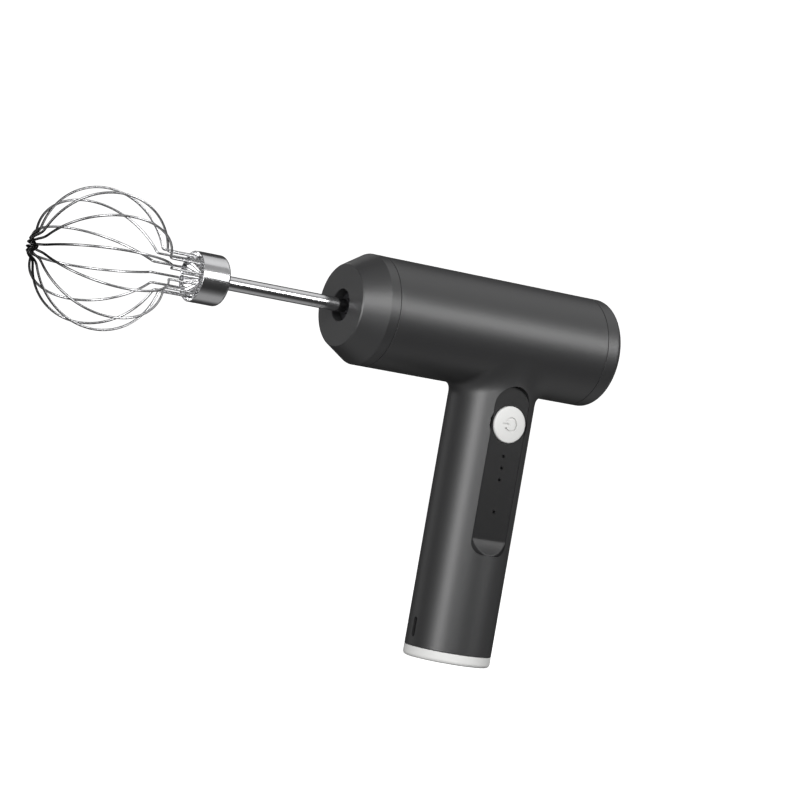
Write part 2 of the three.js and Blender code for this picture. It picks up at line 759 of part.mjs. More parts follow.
/** The sleeve that drives the whisk, slotted in front for the shaft's two tabs. */
function driveSocket() {
  const bore = SHAFT_RADIUS + GAP;
  const counterbore = SPINDLE_RADIUS + GAP;
  const counterboreFront = SPINDLE_FRONT - GAP;
  const sleeve = turned([
    [bore, SOCKET_FRONT],
    [SOCKET_RADIUS - 0.5, SOCKET_FRONT],
    [SOCKET_RADIUS, SOCKET_FRONT + 0.5],
    [SOCKET_RADIUS, SOCKET_REAR],
    [counterbore, SOCKET_REAR],
    [counterbore, counterboreFront],
    [bore, counterboreFront],
    [bore, SOCKET_FRONT],
  ], 24);
  const halfWidth = TAB_WIDTH / 2 + GAP;
  const halfThickness = TAB_THICKNESS / 2 + GAP;
  const slotRear = TAB_FRONT + TAB_LENGTH + GAP;
  const slot = block([-halfThickness, -halfWidth, SOCKET_FRONT - 1], [halfThickness, halfWidth, slotRear]);
  return cut(sleeve, slot);
}

/** The hollow spindle from the carrier to the socket, with a groove for the ring that holds the whisk. */
function outputSpindle() {
  const bore = SHAFT_RADIUS + GAP;
  const narrow = 2.6;
  const groove = 3.4;
  const blindEnd = CARRIER_REAR - 3;
  return turned([
    [bore, SPINDLE_FRONT],
    [SPINDLE_RADIUS, SPINDLE_FRONT],
    [SPINDLE_RADIUS, CARRIER_REAR],
    [0, CARRIER_REAR],
    [0, blindEnd],
    [narrow, blindEnd],
    [narrow, CLIP_REAR + GAP],
    [groove, CLIP_REAR + GAP],
    [groove, CLIP_FRONT - GAP],
    [narrow, CLIP_FRONT - GAP],
    [narrow, SHAFT_SHOULDER + GAP],
    [bore, SHAFT_SHOULDER + GAP],
    [bore, SPINDLE_FRONT],
  ], 20);
}

/** A split spring ring in the spindle's groove. */
function retainingClip() {
  const [inner, outer, opening] = [2.42, 3.15, 35 * DEGREE];
  const outline = [
    ...arc(0, 0, outer, opening, 2 * Math.PI - opening, 12),
    ...arc(0, 0, inner, 2 * Math.PI - opening, opening, 12),
  ];
  return plate(outline, CLIP_FRONT, CLIP_REAR);
}

/** A disc on the spindle's end, with a pin for each planet gear. */
function planetCarrier() {
  const hub = circle(SPINDLE_RADIUS + GAP, 0, 0, 20);
  const disc = plate(circle(12.5, 0, 0, 28), CARRIER_FRONT, CARRIER_REAR, [hub]);
  const pins = planetAngles().map((angle) => {
    const [x, y] = [PLANET_ORBIT * Math.cos(angle), PLANET_ORBIT * Math.sin(angle)];
    return rodAt(x, y, PIN_RADIUS, CARRIER_FRONT + 1, GEARS_REAR + 0.4, 12);
  });
  return join(disc, ...pins);
}

function planetAngles() {
  return Array.from({ length: PLANET_COUNT }, (_, i) => (2 * Math.PI * i) / PLANET_COUNT);
}

function addDrive(barrel) {
  piece(barrel, "drive_socket", driveSocket(), BLACK_PLASTIC);
  piece(barrel, "output_spindle", outputSpindle(), STEEL);
  piece(barrel, "retaining_clip", retainingClip(), STEEL);
  piece(barrel, "planet_carrier", planetCarrier(), STEEL);
  planetAngles().forEach((angle, i) => {
    const arm = new THREE.Group();
    arm.rotation.z = angle;
    barrel.add(arm);
    piece(arm, `planet_gear_${i + 1}`, gear(PLANET_TEETH, PIN_RADIUS + GAP, GEARS_FRONT, GEARS_REAR), NYLON)
      .position.x = PLANET_ORBIT;
  });
}

// ---------------------------------------------------------------- motor

/** The motor's drawn steel case, open at the rear. */
function motorCan() {
  const wall = 1.1;
  const can = turned([
    [MOTOR_SHAFT + 1.8, MOTOR_FRONT - 2],
    [4.6, MOTOR_FRONT - 2],
    [4.6, MOTOR_FRONT],
    [MOTOR_RADIUS, MOTOR_FRONT],
    [MOTOR_RADIUS, MOTOR_REAR],
    [MOTOR_RADIUS - wall, MOTOR_REAR],
    [MOTOR_RADIUS - wall, MOTOR_FRONT + wall],
    [MOTOR_SHAFT + 1.8, MOTOR_FRONT + wall],
    [MOTOR_SHAFT + 1.8, MOTOR_FRONT - 2],
  ], 24);
  const holes = motorScrewPlaces().map(([x, y]) => rodAt(x, y, 1.5, MOTOR_FRONT - 1, MOTOR_FRONT + 3, 8));
  return cut(can, ...holes);
}

function motorMagnet(middleAngle) {
  const [inner, outer, half] = [ARMATURE_RADIUS + 0.6, MOTOR_RADIUS - 1.4, 72 * DEGREE];
  const outline = [
    ...arc(0, 0, outer, middleAngle - half, middleAngle + half, 8),
    ...arc(0, 0, inner, middleAngle + half, middleAngle - half, 8),
  ];
  return plate(outline, MOTOR_FRONT + 6.2, MOTOR_REAR - 9.5);
}

/** The rear cover, with two holders for the brushes and a seat for the rear bush. */
function motorEndCap() {
  const plug = MOTOR_RADIUS - 1.4;
  const [face, rear] = [MOTOR_REAR + GAP, MOTOR_REAR + 4];
  const cover = turned([
    [MOTOR_SHAFT + 1.8, face - 1.8],
    [plug, face - 1.8],
    [plug, face],
    [MOTOR_RADIUS, face],
    [MOTOR_RADIUS, rear],
    [5, rear],
    [5, rear + 1.5],
    [MOTOR_SHAFT + 1.8, rear + 1.5],
    [MOTOR_SHAFT + 1.8, face - 1.8],
  ], 24);
  const holders = [1, -1].map((side) => {
    const [low, high] = [side * 4.6, side * 11].sort((a, b) => a - b);
    return block([-3, low, BRUSH_PLACE - 2.6], [3, high, face - 1]);
  });
  const channel = block([-1.8, -plug, BRUSH_PLACE - 1.8], [1.8, plug, BRUSH_PLACE + 1.8]);
  return cut(join(cover, ...holders), channel);
}

function armatureCore() {
  const poles = Array.from({ length: ARMATURE_POLES }, (_, i) => {
    const middle = (2 * Math.PI * i) / ARMATURE_POLES;
    const at = (radius, degrees) => {
      const angle = middle + degrees * DEGREE;
      return new THREE.Vector2(radius * Math.cos(angle), radius * Math.sin(angle));
    };
    const face = [-30, -15, 0, 15, 30].map((degrees) => at(ARMATURE_RADIUS, degrees));
    return [at(4, -30), at(7.2, -13), at(7.9, -30), ...face, at(7.9, 30), at(7.2, 13)];
  });
  return plate(poles.flat(), ARMATURE_FRONT, ARMATURE_REAR, [circle(MOTOR_SHAFT + GAP, 0, 0, 12)]);
}

function winding(from, to) {
  const [inner, outer, edge] = [3.4, 8, 0.9];
  return turned([
    [inner, from],
    [outer - edge, from],
    [outer, (from + to) / 2],
    [outer - edge, to],
    [inner, to],
    [inner, from],
  ], 14);
}

function addMotor(barrel) {
  piece(barrel, "motor_can", motorCan(), CAN_STEEL);
  const fluxRing = ring(MOTOR_RADIUS + GAP, MOTOR_RADIUS + 1.8, FLUX_FRONT, FLUX_REAR, 24);
  piece(barrel, "motor_flux_ring", fluxRing, CAN_STEEL);
  piece(barrel, "motor_end_cap", motorEndCap(), BLACK_PLASTIC);
  piece(barrel, "motor_magnet_1", motorMagnet(Math.PI / 2), MAGNET_GREY);
  piece(barrel, "motor_magnet_2", motorMagnet(-Math.PI / 2), MAGNET_GREY);
  const [inner, outer] = [MOTOR_SHAFT + GAP, MOTOR_SHAFT + 1.5];
  piece(barrel, "motor_bush_front", ring(inner, outer, MOTOR_FRONT - 1.8, MOTOR_FRONT + 2, 12), BRONZE);
  piece(barrel, "motor_bush_rear", ring(inner, outer, MOTOR_REAR + 1, MOTOR_REAR + 5, 12), BRONZE);
  [1, -1].forEach((side, i) => {
    const [low, high] = [side * 3.8, side * 8.5].sort((a, b) => a - b);
    const brush = block([-1.5, low, BRUSH_PLACE - 1.5], [1.5, high, BRUSH_PLACE + 1.5]);
    piece(barrel, `motor_brush_${i + 1}`, brush, MAGNET_GREY);
  });
}

function addRotor(barrel) {
  piece(barrel, "motor_shaft", rod(MOTOR_SHAFT, GEARS_FRONT + 0.4, MOTOR_REAR + 4.6, 12), STEEL);
  piece(barrel, "sun_pinion", gear(SUN_TEETH, MOTOR_SHAFT + GAP, GEARS_FRONT, GEARS_REAR), BRONZE);
  piece(barrel, "armature_core", armatureCore(), CAN_STEEL);
  piece(barrel, "armature_winding_1", winding(ARMATURE_FRONT - 3.6, ARMATURE_FRONT - GAP), COPPER);
  piece(barrel, "armature_winding_2", winding(ARMATURE_REAR + GAP, ARMATURE_REAR + 3.4), COPPER);
  piece(barrel, "commutator", ring(MOTOR_SHAFT + GAP, 3.5, MOTOR_REAR - 7.8, MOTOR_REAR - 1.9, 12), COPPER);
}

/** The two leads run from the rear cover, under the motor, down to the top of the control board. */
function addMotorLeads(object) {
  const colours = { motor_lead_red: [RED, -1], motor_lead_black: [BLACK, 1] };
  for (const [name, [material, side]] of Object.entries(colours)) {
    const places = [
      [39, side * 8, 135],
      [40.3, side * 7, 130],
      [37.4, side * 4, 123.4],
      [29, side * 3.5, 120.4],
      [17, side * 3.5, 120.1],
      [8.5, side * 4 - 3, 114],
      [5 + side * 2, -7.4, 105],
    ];
    piece(object, name, wire(leadPoints(places, 11), 0.7), material);
  }
}

// ---------------------------------------------------------------- whisk

/** The hollow shaft, with two flat tabs that the socket drives and a snap tip at its rear end. */
function whiskShaft() {
  const bore = SHAFT_RADIUS - SHAFT_WALL;
  const boreEnd = TAB_FRONT - 4;
  const tube = turned([
    [0, boreEnd],
    [bore, boreEnd],
    [bore, SHAFT_FRONT],
    [SHAFT_RADIUS, SHAFT_FRONT],
    [SHAFT_RADIUS, SHAFT_SHOULDER],
    [NECK_RADIUS, SHAFT_SHOULDER],
    [NECK_RADIUS, NECK_REAR],
    [BEAD_RADIUS, BEAD_FRONT],
    [BEAD_RADIUS, BEAD_REAR],
    [BEAD_RADIUS - 0.9, SHAFT_TIP],
    [0, SHAFT_TIP],
  ], 20);
  const tabs = block(
    [-TAB_THICKNESS / 2, -TAB_WIDTH / 2, TAB_FRONT],
    [TAB_THICKNESS / 2, TAB_WIDTH / 2, TAB_FRONT + TAB_LENGTH],
  );
  return join(tube, tabs);
}

/** The cup that holds the wires' ends, open in front. */
function whiskFerrule() {
  const inner = FERRULE_RADIUS - FERRULE_WALL;
  const hole = SHAFT_RADIUS + GAP;
  return turned([
    [inner, FERRULE_FRONT],
    [FERRULE_RADIUS - 0.25, FERRULE_FRONT],
    [FERRULE_RADIUS, FERRULE_FRONT + 0.3],
    [FERRULE_RADIUS, FERRULE_REAR - 0.6],
    [FERRULE_RADIUS - 0.6, FERRULE_REAR],
    [hole, FERRULE_REAR],
    [hole, FERRULE_REAR - 1.2],
    [inner, FERRULE_REAR - 1.2],
    [inner, FERRULE_FRONT],
  ], 28);
}

/** The plug inside the ferrule, recessed in front and hollow round the shaft's end. */
function whiskCore() {
  const hole = SHAFT_RADIUS + GAP;
  const rear = FERRULE_REAR - 1.5;
  return turned([
    [0, CORE_FLOOR],
    [CORE_FLOOR_RADIUS, CORE_FLOOR],
    [CORE_RADIUS - 0.6, CORE_FRONT],
    [CORE_RADIUS, CORE_FRONT],
    [CORE_RADIUS, rear],
    [hole, rear],
    [hole, rear - CORE_WALL],
    [CORE_RADIUS - CORE_WALL, rear - CORE_WALL],
    [CORE_RADIUS - CORE_WALL, CORE_FRONT + 1.8],
    [CORE_FLOOR_RADIUS, CORE_FLOOR + CORE_WALL],
    [0, CORE_FLOOR + CORE_WALL],
  ], 20);
}

/** One hoop: straight out of the ferrule, a kink, round the ball to a dimple at its tip, and back. */
function wireHoop(index) {
  const crossing = BALL_CENTRE - CROSSING_DEPTH + index * HOOP_STEP;
  const lip = BALL_CENTRE - LIP_DEPTH + index * LIP_STEP;
  const neckAngle = Math.asin(WIRE_CIRCLE / BALL_RADIUS);
  const lastAngle = Math.PI - Math.asin((2 * LIP_RADIUS) / BALL_RADIUS);
  const arcSteps = 10;
  const half = [
    [WIRE_CIRCLE, WIRE_END],
    ...Array.from({ length: arcSteps + 1 }, (_, i) => {
      const angle = neckAngle + ((lastAngle - neckAngle) * i) / arcSteps;
      return [BALL_RADIUS * Math.sin(angle), BALL_CENTRE + BALL_RADIUS * Math.cos(angle)];
    }),
    [LIP_RADIUS * LIP_SHOULDER, lip + 0.8],
    [LIP_RADIUS, lip],
    [LIP_RADIUS / 2, (lip + crossing) / 2],
  ];
  const there = half.map(([across, along]) => new THREE.Vector3(across, 0, along));
  const back = half.toReversed().map(([across, along]) => new THREE.Vector3(-across, 0, along));
  return wire([...there, new THREE.Vector3(0, 0, crossing), ...back], WIRE_RADIUS);
}

function addWhisk(barrel) {
  piece(barrel, "whisk_shaft", whiskShaft(), CHROME);
  piece(barrel, "whisk_ferrule", whiskFerrule(), CHROME);
  piece(barrel, "whisk_core", whiskCore(), STEEL);
  for (let i = 0; i < HOOP_COUNT; i += 1) {
    piece(barrel, `wire_hoop_${i + 1}`, wireHoop(i), CHROME).rotation.z = HOOP_TURN + (i * Math.PI) / HOOP_COUNT;
  }
}

// ---------------------------------------------------------------- the whole mixer

function handMixer() {
  const object = new THREE.Group();
  const barrel = barrelFrame();
  const panel = panelFrame();
  object.add(barrel, panel);
  addCasing(object, barrel);
  addControls(object, panel);
  addBattery(object);
  addGearbox(barrel);
  addDrive(barrel);
  addMotor(barrel);
  addRotor(barrel);
  addMotorLeads(object);
  addWhisk(barrel);
  return object;
}

export default handMixer();
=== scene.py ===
# The looks of the cordless hand mixer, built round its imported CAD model.
# Shapes are worked out in millimetres, in the CAD's frame, and brought to metres at the end.

import json
import math

import bmesh
import bpy
from mathutils import Matrix, Vector


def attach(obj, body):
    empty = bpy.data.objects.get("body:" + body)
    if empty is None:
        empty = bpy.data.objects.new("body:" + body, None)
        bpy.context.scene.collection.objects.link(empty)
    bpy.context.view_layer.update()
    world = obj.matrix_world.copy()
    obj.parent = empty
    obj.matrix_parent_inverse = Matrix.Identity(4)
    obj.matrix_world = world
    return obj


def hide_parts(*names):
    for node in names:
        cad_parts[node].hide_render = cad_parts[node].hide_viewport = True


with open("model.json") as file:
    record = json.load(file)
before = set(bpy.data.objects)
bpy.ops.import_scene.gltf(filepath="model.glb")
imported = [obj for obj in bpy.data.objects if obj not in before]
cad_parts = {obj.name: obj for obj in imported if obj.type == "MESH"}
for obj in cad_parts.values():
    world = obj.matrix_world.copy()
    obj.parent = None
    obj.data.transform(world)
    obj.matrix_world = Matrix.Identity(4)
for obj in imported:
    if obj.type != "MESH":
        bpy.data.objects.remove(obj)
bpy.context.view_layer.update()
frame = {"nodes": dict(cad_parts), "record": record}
MM = 0.001

# ---------------------------------------------------------------- dimensions, in millimetres

AXIS_HEIGHT = 138.0
BARREL_RADIUS = 23.0
BARREL_BORE = 20.8
HANDLE_RADIUS = 18.4
HANDLE_BORE = 15.2
FILLET = 5.5
FRONT_SEAM = -65.7
REAR_SEAM = 38.6
BASE_SEAM = 4.6
SEAM = 0.2  # how wide a seam in the casing looks
EDGE = 0.18  # rounding of the casing's edges along the seams
SKIRT_RADIUS = 20.4
SKIRT_WALL = 1.8
SKIRT_LENGTH = 5.6
PLUG_LENGTH = 3.0  # how far the base cap reaches up into the handle
CLEARANCE = 0.3  # between neighbouring pieces
PAST = 1.0  # how far a cut runs past the faces it opens
MERGE = 0.002  # points nearer than this become one
CASING_SIDES = 192
SMALL_SIDES = 96

NOSE_FACE = -80.4
NOSE_FACE_RADIUS = 17.4
NOSE_SHOULDER = -70.2
NOSE_HOLE = 6.64
NOSE_BOSS = 10.0
NOSE_BOSS_END = -62.5
NOSE_BEVEL = 0.5  # round the front face
NOSE_WALL = 2.6
NOSE_CONE_INSIDE = 3.0  # how much smaller in radius the front face is inside
SEAL_SEAT = 2.0  # how much further out than the nose's hole the seal's seat reaches
SEAL_DEPTH = 3.5
REAR_END = 46.4
REAR_ROUNDING = 3.1
CAP_WALL = 2.2
BASE_ROUNDING = 1.6

PANEL_FACE = 16.3
PANEL_BACK = 14.9
PANEL_HALF_WIDTH = 8.5
PANEL_BOTTOM = 47.0
PANEL_TOP = 118.0
PANEL_CORNER = 5.0
PANEL_GAP = 0.1
SCOOP_LENGTH = 6.4  # where the panel's lower end curves up to the handle's surface
SCOOP_CURVE = 1.35
SCOOP_SINK = 0.03  # how far below the handle's surface the panel ends
SCOOP_BLEND = 0.12
WINDOW_HALF_WIDTH = 6.5  # the window in the handle's wall, behind the panel
WINDOW_RAISE = 3.0  # how far above the panel's lower end the window starts
WINDOW_CORNER = 3.0
BOARD_FACE = 10.0
BUTTON_HEIGHT = 102.0
BUTTON_RADIUS = 7.7
BUTTON_FACE = 17.8
BUTTON_FLANGE = 8.9
BUTTON_FLANGE_GAP = 0.4
BUTTON_FLANGE_THICKNESS = 0.7
BUTTON_GAP = 0.3
BUTTON_CROWN = 0.6  # how much lower the face is at its edge than in its middle
BUTTON_CROWN_RADII = (2.0, 4.0, 5.5, 6.4)
BUTTON_CROWN_DROP = 0.42  # how much lower the face is where its rounded edge begins
BUTTON_ROUNDING = 0.65
BUTTON_RIM_DROP = 0.05
BUTTON_WALL = 1.4
BUTTON_SKIN = 1.6
BUTTON_STEM = 2.4
SYMBOL_RADIUS = 2.75
SYMBOL_LINE = 0.42  # half the width of the symbol's lines
SYMBOL_BAR = (-3.7, -1.1)
SYMBOL_OPENING = math.radians(38)  # half the ring's opening
SYMBOL_DEPTH = 0.65
LIGHT_HEIGHTS = (88.6, 83.7, 78.7, 65.2)
LIGHT_HOLE = 0.7

PORT_HEIGHT = 12.5
PORT_LENGTH = 8.4
PORT_WIDTH = 2.2
PORT_FRONT = -14.9
PORT_DEPTH = 5.6
PORT_WALL = 0.3
PORT_EASE = 0.2  # how far past the slot the shell reaches at each end
PORT_BACK_WALL = 0.5
TONGUE_SET_BACK = 2.4  # how far the tongue lies behind the port's front
TONGUE_INSET = 1.5
TONGUE_HALF_THICKNESS = 0.35
TONGUE_ROOT = 0.2  # where the tongue starts, ahead of the shell's back
TONGUE_BEVEL = 0.12

SOCKET_RADIUS = 6.0
SOCKET_FRONT = -77.0
SOCKET_REAR = -58.3
SPINDLE_RADIUS = 4.4
SPINDLE_FRONT = -61.7

SHAFT_RADIUS = 2.9
SHAFT_WALL = 0.6
SHAFT_FRONT = -143.4
SHAFT_SHOULDER = -53.4
NECK_RADIUS = 1.45  # the groove behind the shaft's snap tip
NECK_REAR = -50.2
BEAD_RADIUS = 2.1
BEAD_FRONT = -49.4
BEAD_REAR = -48.0
TIP_RADIUS = 1.2
SHAFT_TIP = -46.4
SHAFT_BOTTOM = -80.0  # the shaft is hollow from its front end back to here
TAB_FRONT = -76.0
TAB_LENGTH = 11.6
TAB_WIDTH = 8.7
TAB_THICKNESS = 1.6
TAB_CORNER = 1.2
TAB_CORNER_WIDTH = 0.9
TAB_BEVEL = 0.2
FERRULE_FRONT = -149.9
FERRULE_REAR = -137.2
FERRULE_RADIUS = 10.25
FERRULE_WALL = 0.6
FERRULE_BACK = 1.2
CORE_FRONT = -149.4
CORE_REAR = -138.7
CORE_RADIUS = 7.4
CORE_FLOOR = -145.0  # the bottom of the recess in the core's front
CORE_FLOOR_RADIUS = 3.0
CORE_WALL = 0.8
COLLAR_RADIUS = 9.5  # the core's fluted collar fills the ferrule's mouth
COLLAR_LENGTH = 2.0
COLLAR_TAPER = 1.0
CORE_SHELL = 1.8  # the core's wall behind its front face
FLUTES = 24
FLUTE_DEPTH = 0.45
FLUTE_LENGTH = 1.9
FLUTE_START = 3.5  # no flutes nearer the axis than this
WIRE_RADIUS = 0.5
WIRE_CIRCLE = 8.3
WIRE_END = -140.5
KINK = 0.03  # how far the bend where a wire meets the ball reaches, as an angle
BALL_CENTRE = -190.2
BALL_RADIUS = 27.75
HOOP_COUNT = 6
HOOP_TURN = math.radians(-8)  # the first hoop's plane, from upright
HOOP_STEP = 0.25  # how far apart the hoops cross the axis
SHADE_FRONT = -218.0  # painted shade darkens the wires from here back to here
SHADE_REAR = -197.0
LIP_RADIUS = 3.2  # round the crossing the hoops bulge out
LIP_BULGE = 2.7
LIP_WIDTH = 2.0

TURN = 2 * math.pi

# ---------------------------------------------------------------- frames of reference

UPRIGHT = Matrix()
# local Z runs along the object's X, from the whisk to the rear
BARREL = Matrix.Translation((0, 0, AXIS_HEIGHT)) @ Matrix.Rotation(math.pi / 2, 4, "Y")
# a flat shape through the barrel's axis: local X is the object's Y, local Y runs along the barrel
SWAP = Matrix(((0, 1, 0, 0), (1, 0, 0, 0), (0, 0, 1, 0), (0, 0, 0, 1)))
FLAT = Matrix.Translation((0, 0, AXIS_HEIGHT)) @ SWAP
# local X stays, local Y is the object's height, local Z points out at -Y
PANEL = Matrix.Rotation(math.pi / 2, 4, "X")
# local Y is the object's height, local Z points out at -X
PORT = Matrix.Rotation(-math.pi / 2, 4, "Z") @ Matrix.Rotation(math.pi / 2, 4, "X")

# ---------------------------------------------------------------- making solids


def solid(points, faces, place=UPRIGHT):
    """An object from points in millimetres and faces, turned outward."""
    mesh = bpy.data.meshes.new("solid")
    mesh.from_pydata([place @ Vector(point) for point in points], [], faces)
    work = bmesh.new()
    work.from_mesh(mesh)
    bmesh.ops.remove_doubles(work, verts=work.verts, dist=MERGE)
    bmesh.ops.dissolve_degenerate(work, edges=work.edges, dist=MERGE)
    bmesh.ops.recalc_face_normals(work, faces=work.faces)
    work.to_mesh(mesh)
    work.free()
    made = bpy.data.objects.new("solid", mesh)
    bpy.context.scene.collection.objects.link(made)
    return made


def arc(x, y, radius, start, end, steps):
    """Points of an arc about x, y, both ends included."""
    angles = [start + (end - start) * i / steps for i in range(steps + 1)]
    return [(x + radius * math.cos(a), y + radius * math.sin(a)) for a in angles]


def steps_between(start, end, count):
    return [start + (end - start) * i / count for i in range(count + 1)]


def circle(radius, x=0.0, y=0.0, sides=64):
    return arc(x, y, radius, 0, TURN, sides)[:-1]


def slot_outline(half_width, bottom, top, bottom_radius, top_radius, steps=14):
    """An upright rectangle with rounded corners."""
    right, left = half_width, -half_width
    corners = [
        arc(right - top_radius, top - top_radius, top_radius, 0, TURN / 4, steps),
        arc(left + top_radius, top - top_radius, top_radius, TURN / 4, TURN / 2, steps),
        arc(left + bottom_radius, bottom + bottom_radius, bottom_radius, TURN / 2, 0.75 * TURN, steps),
        arc(right - bottom_radius, bottom + bottom_radius, bottom_radius, 0.75 * TURN, TURN, steps),
    ]
    return without_repeats([point for corner in corners for point in corner])


def without_repeats(points):
    return [p for i, p in enumerate(points) if math.dist(p, points[i - 1]) > MERGE / 2]


def rounded(corners, closed=False, steps=4):
    """A line through corners of (radius, along, rounding), with each corner rounded that much."""
    line = []
    for i, (x, y, rounding) in enumerate(corners):
        here = Vector((x, y))
        if not rounding:
            line.append((x, y))
            continue
        before = Vector(corners[i - 1][:2]) - here
        after = Vector(corners[(i + 1) % len(corners)][:2]) - here
        half = before.angle(after) / 2
        middle = here + (before.normalized() + after.normalized()).normalized() * rounding / math.sin(half)
        start = here + before.normalized() * rounding / math.tan(half) - middle
        end = here + after.normalized() * rounding / math.tan(half) - middle
        opening = start.angle(end)
        for k in range(steps + 1):
            share = k / steps
            spoke = start * math.sin((1 - share) * opening) + end * math.sin(share * opening)
            point = middle + spoke / math.sin(opening)
            line.append((point.x, point.y))
    return line + line[:1] if closed else line


def lathe(profile, place, sides=128):
    """A profile of (radius, along) turned about local Z.  It starts and ends on the axis, or is a loop."""
    points, rings = [], []
    for radius, along in profile:
        if radius < 1e-6:
            rings.append([len(points)] * sides)
            points.append((0, 0, along))
            continue
        rings.append(range(len(points), len(points) + sides))
        points += [(x, y, along) for x, y in circle(radius, sides=sides)]
    faces = []
    for inner, outer in zip(rings, rings[1:]):
        for i in range(sides):
            j = (i + 1) % sides
            corners = [inner[i], inner[j], outer[j], outer[i]]
            face = [c for k, c in enumerate(corners) if c != corners[k - 1]]
            if len(face) > 2:
                faces.append(face)
    return solid(points, faces, place)


def rod(radius, start, end, place, sides=128):
    return lathe([(0, start), (radius, start), (radius, end), (0, end)], place, sides)


def prism(outline, start, end, place=UPRIGHT):
    """An outline drawn out along local Z."""
    count = len(outline)
    points = [(x, y, z) for z in (start, end) for x, y in outline]
    faces = [list(range(count)), list(range(count, 2 * count))]
    faces += [[i, (i + 1) % count, count + (i + 1) % count, count + i] for i in range(count)]
    return solid(points, faces, place)


def block(low, high, place):
    outline = [(low[0], low[1]), (high[0], low[1]), (high[0], high[1]), (low[0], high[1])]
    return prism(outline, low[2], high[2], place)


def combine(operation, whole, *others):
    """Joins other solids to one, cuts them from it, or keeps what they share, and uses them up."""
    for other in others:
        change = whole.modifiers.new("combine", "BOOLEAN")
        change.operation = operation
        change.solver = "MANIFOLD"
        change.object = other
        apply_modifiers(whole)
        bpy.data.objects.remove(other)
    return whole


def cut(whole, *others):
    return combine("DIFFERENCE", whole, *others)


def join(whole, *others):
    return combine("UNION", whole, *others)


def apply_modifiers(made):
    view = bpy.context.evaluated_depsgraph_get()
    mesh = bpy.data.meshes.new_from_object(made.evaluated_get(view))
    made.modifiers.clear()
    made.data = mesh


def soften(made, width, angle=40, steps=2):
    """Rounds every edge sharper than an angle."""
    bevel = made.modifiers.new("bevel", "BEVEL")
    bevel.width = width
    bevel.segments = steps
    bevel.limit_method = "ANGLE"
    bevel.angle_limit = math.radians(angle)
    bevel.use_clamp_overlap = True
    apply_modifiers(made)
    return made


def smooth(made, angle):
    """Smooth shading that keeps flat faces flat and edges sharper than an angle crisp."""
    work = bmesh.new()
    work.from_mesh(made.data)
    bmesh.ops.remove_doubles(work, verts=work.verts, dist=MERGE / 2)
    bmesh.ops.recalc_face_normals(work, faces=work.faces)
    for face in work.faces:
        face.smooth = True
    for edge in work.edges:
        edge.smooth = edge.calc_face_angle(0) < math.radians(angle)
    work.to_mesh(made.data)
    work.free()
    normals = made.modifiers.new("normals", "WEIGHTED_NORMAL")
    normals.keep_sharp = True
    apply_modifiers(made)


def settle(made, name, body, slot, *nodes, angle=32):
    """Finishes a piece: its name, shading, size in metres, body, finish and the CAD nodes it stands for."""
    smooth(made, angle)
    made.data.transform(Matrix.Scale(MM, 4))
    made.name = name
    made.data.name = name
    made.data.materials.clear()
    made.data.materials.append(FINISHES[slot])
    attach(made, body)
    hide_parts(*nodes)


# ---------------------------------------------------------------- finishes


class Nodes:
    """A material's node tree, with short ways to add to it."""

    def __init__(self, name):
        self.material = bpy.data.materials.new(name)
        self.material.use_nodes = True
        self.tree = self.material.node_tree
        self.shader = self.tree.nodes["Principled BSDF"]
        self.place = self.add("ShaderNodeTexCoord").outputs["Object"]

    def add(self, kind, **inputs):
        node = self.tree.nodes.new(kind)
        for key, value in inputs.items():
            node.inputs[key].default_value = value
        return node

    def link(self, start, end):
        self.tree.links.new(start, end)

    def noise(self, scale, detail=2.0, stretch=(1, 1, 1)):
        mapping = self.add("ShaderNodeMapping", Scale=stretch)
        noise = self.add("ShaderNodeTexNoise", Scale=scale, Detail=detail)
        self.link(self.place, mapping.inputs["Vector"])
        self.link(mapping.outputs["Vector"], noise.inputs["Vector"])
        return noise.outputs["Fac"]

    def carry(self, source, start, end, low=0.0, high=1.0):
        """Carries the range from start to end over to the range from low to high."""
        reach = self.add("ShaderNodeMapRange")
        for key, value in (("From Min", start), ("From Max", end), ("To Min", low), ("To Max", high)):
            reach.inputs[key].default_value = value
        self.link(source, reach.inputs["Value"])
        return reach.outputs["Result"]

    def spread(self, noise, low, high):
        """Carries a noise's middle range over to a range of values."""
        return self.carry(noise, 0.3, 0.7, low, high)

    def mix(self, source, first, second):
        """A colour that runs from the first to the second as the source runs from 0 to 1."""
        mix = self.add("ShaderNodeMix")
        mix.data_type = "RGBA"
        colours = {"A_Color": first, "B_Color": second}
        for socket in mix.inputs:
            if socket.identifier in colours:
                socket.default_value = (*colours[socket.identifier], 1)
        self.link(source, mix.inputs[0])
        return next(s for s in mix.outputs if s.identifier == "Result_Color")

    def bump(self, source, strength, depth):
        bump = self.add("ShaderNodeBump", Strength=strength, Distance=depth)
        self.link(source, bump.inputs["Height"])
        self.link(bump.outputs["Normal"], self.shader.inputs["Normal"])

    def set_shader(self, sockets):
        """Uniform values for the shader's own sockets, named with underscores for spaces."""
        for key, value in sockets.items():
            self.shader.inputs[key.replace("_", " ")].default_value = value


ALONG = (0.04, 1, 1)  # brushed along the barrel
ROUND = (1, 0.03, 0.03)  # brushed round the barrel
GRAIN_DEPTH = 2e-5


def finish(name, colour, rough, tint=0.04, mottle=60, grain=2500, bump=0.15, stretch=(1, 1, 1), **sockets):
    """A finish with mottled colour, uneven roughness and a fine grain."""
    nodes = Nodes(name)
    low = tuple(c * (1 - tint) for c in colour)
    high = tuple(min(c * (1 + tint), 1) for c in colour)
    patches = nodes.spread(nodes.noise(mottle, 3), 0, 1)
    nodes.link(nodes.mix(patches, low, high), nodes.shader.inputs["Base Color"])
    fine = nodes.noise(grain, 2, stretch)
    nodes.link(nodes.spread(fine, *rough), nodes.shader.inputs["Roughness"])
    nodes.bump(fine, bump, GRAIN_DEPTH)
    nodes.set_shader(sockets)
    return nodes.material


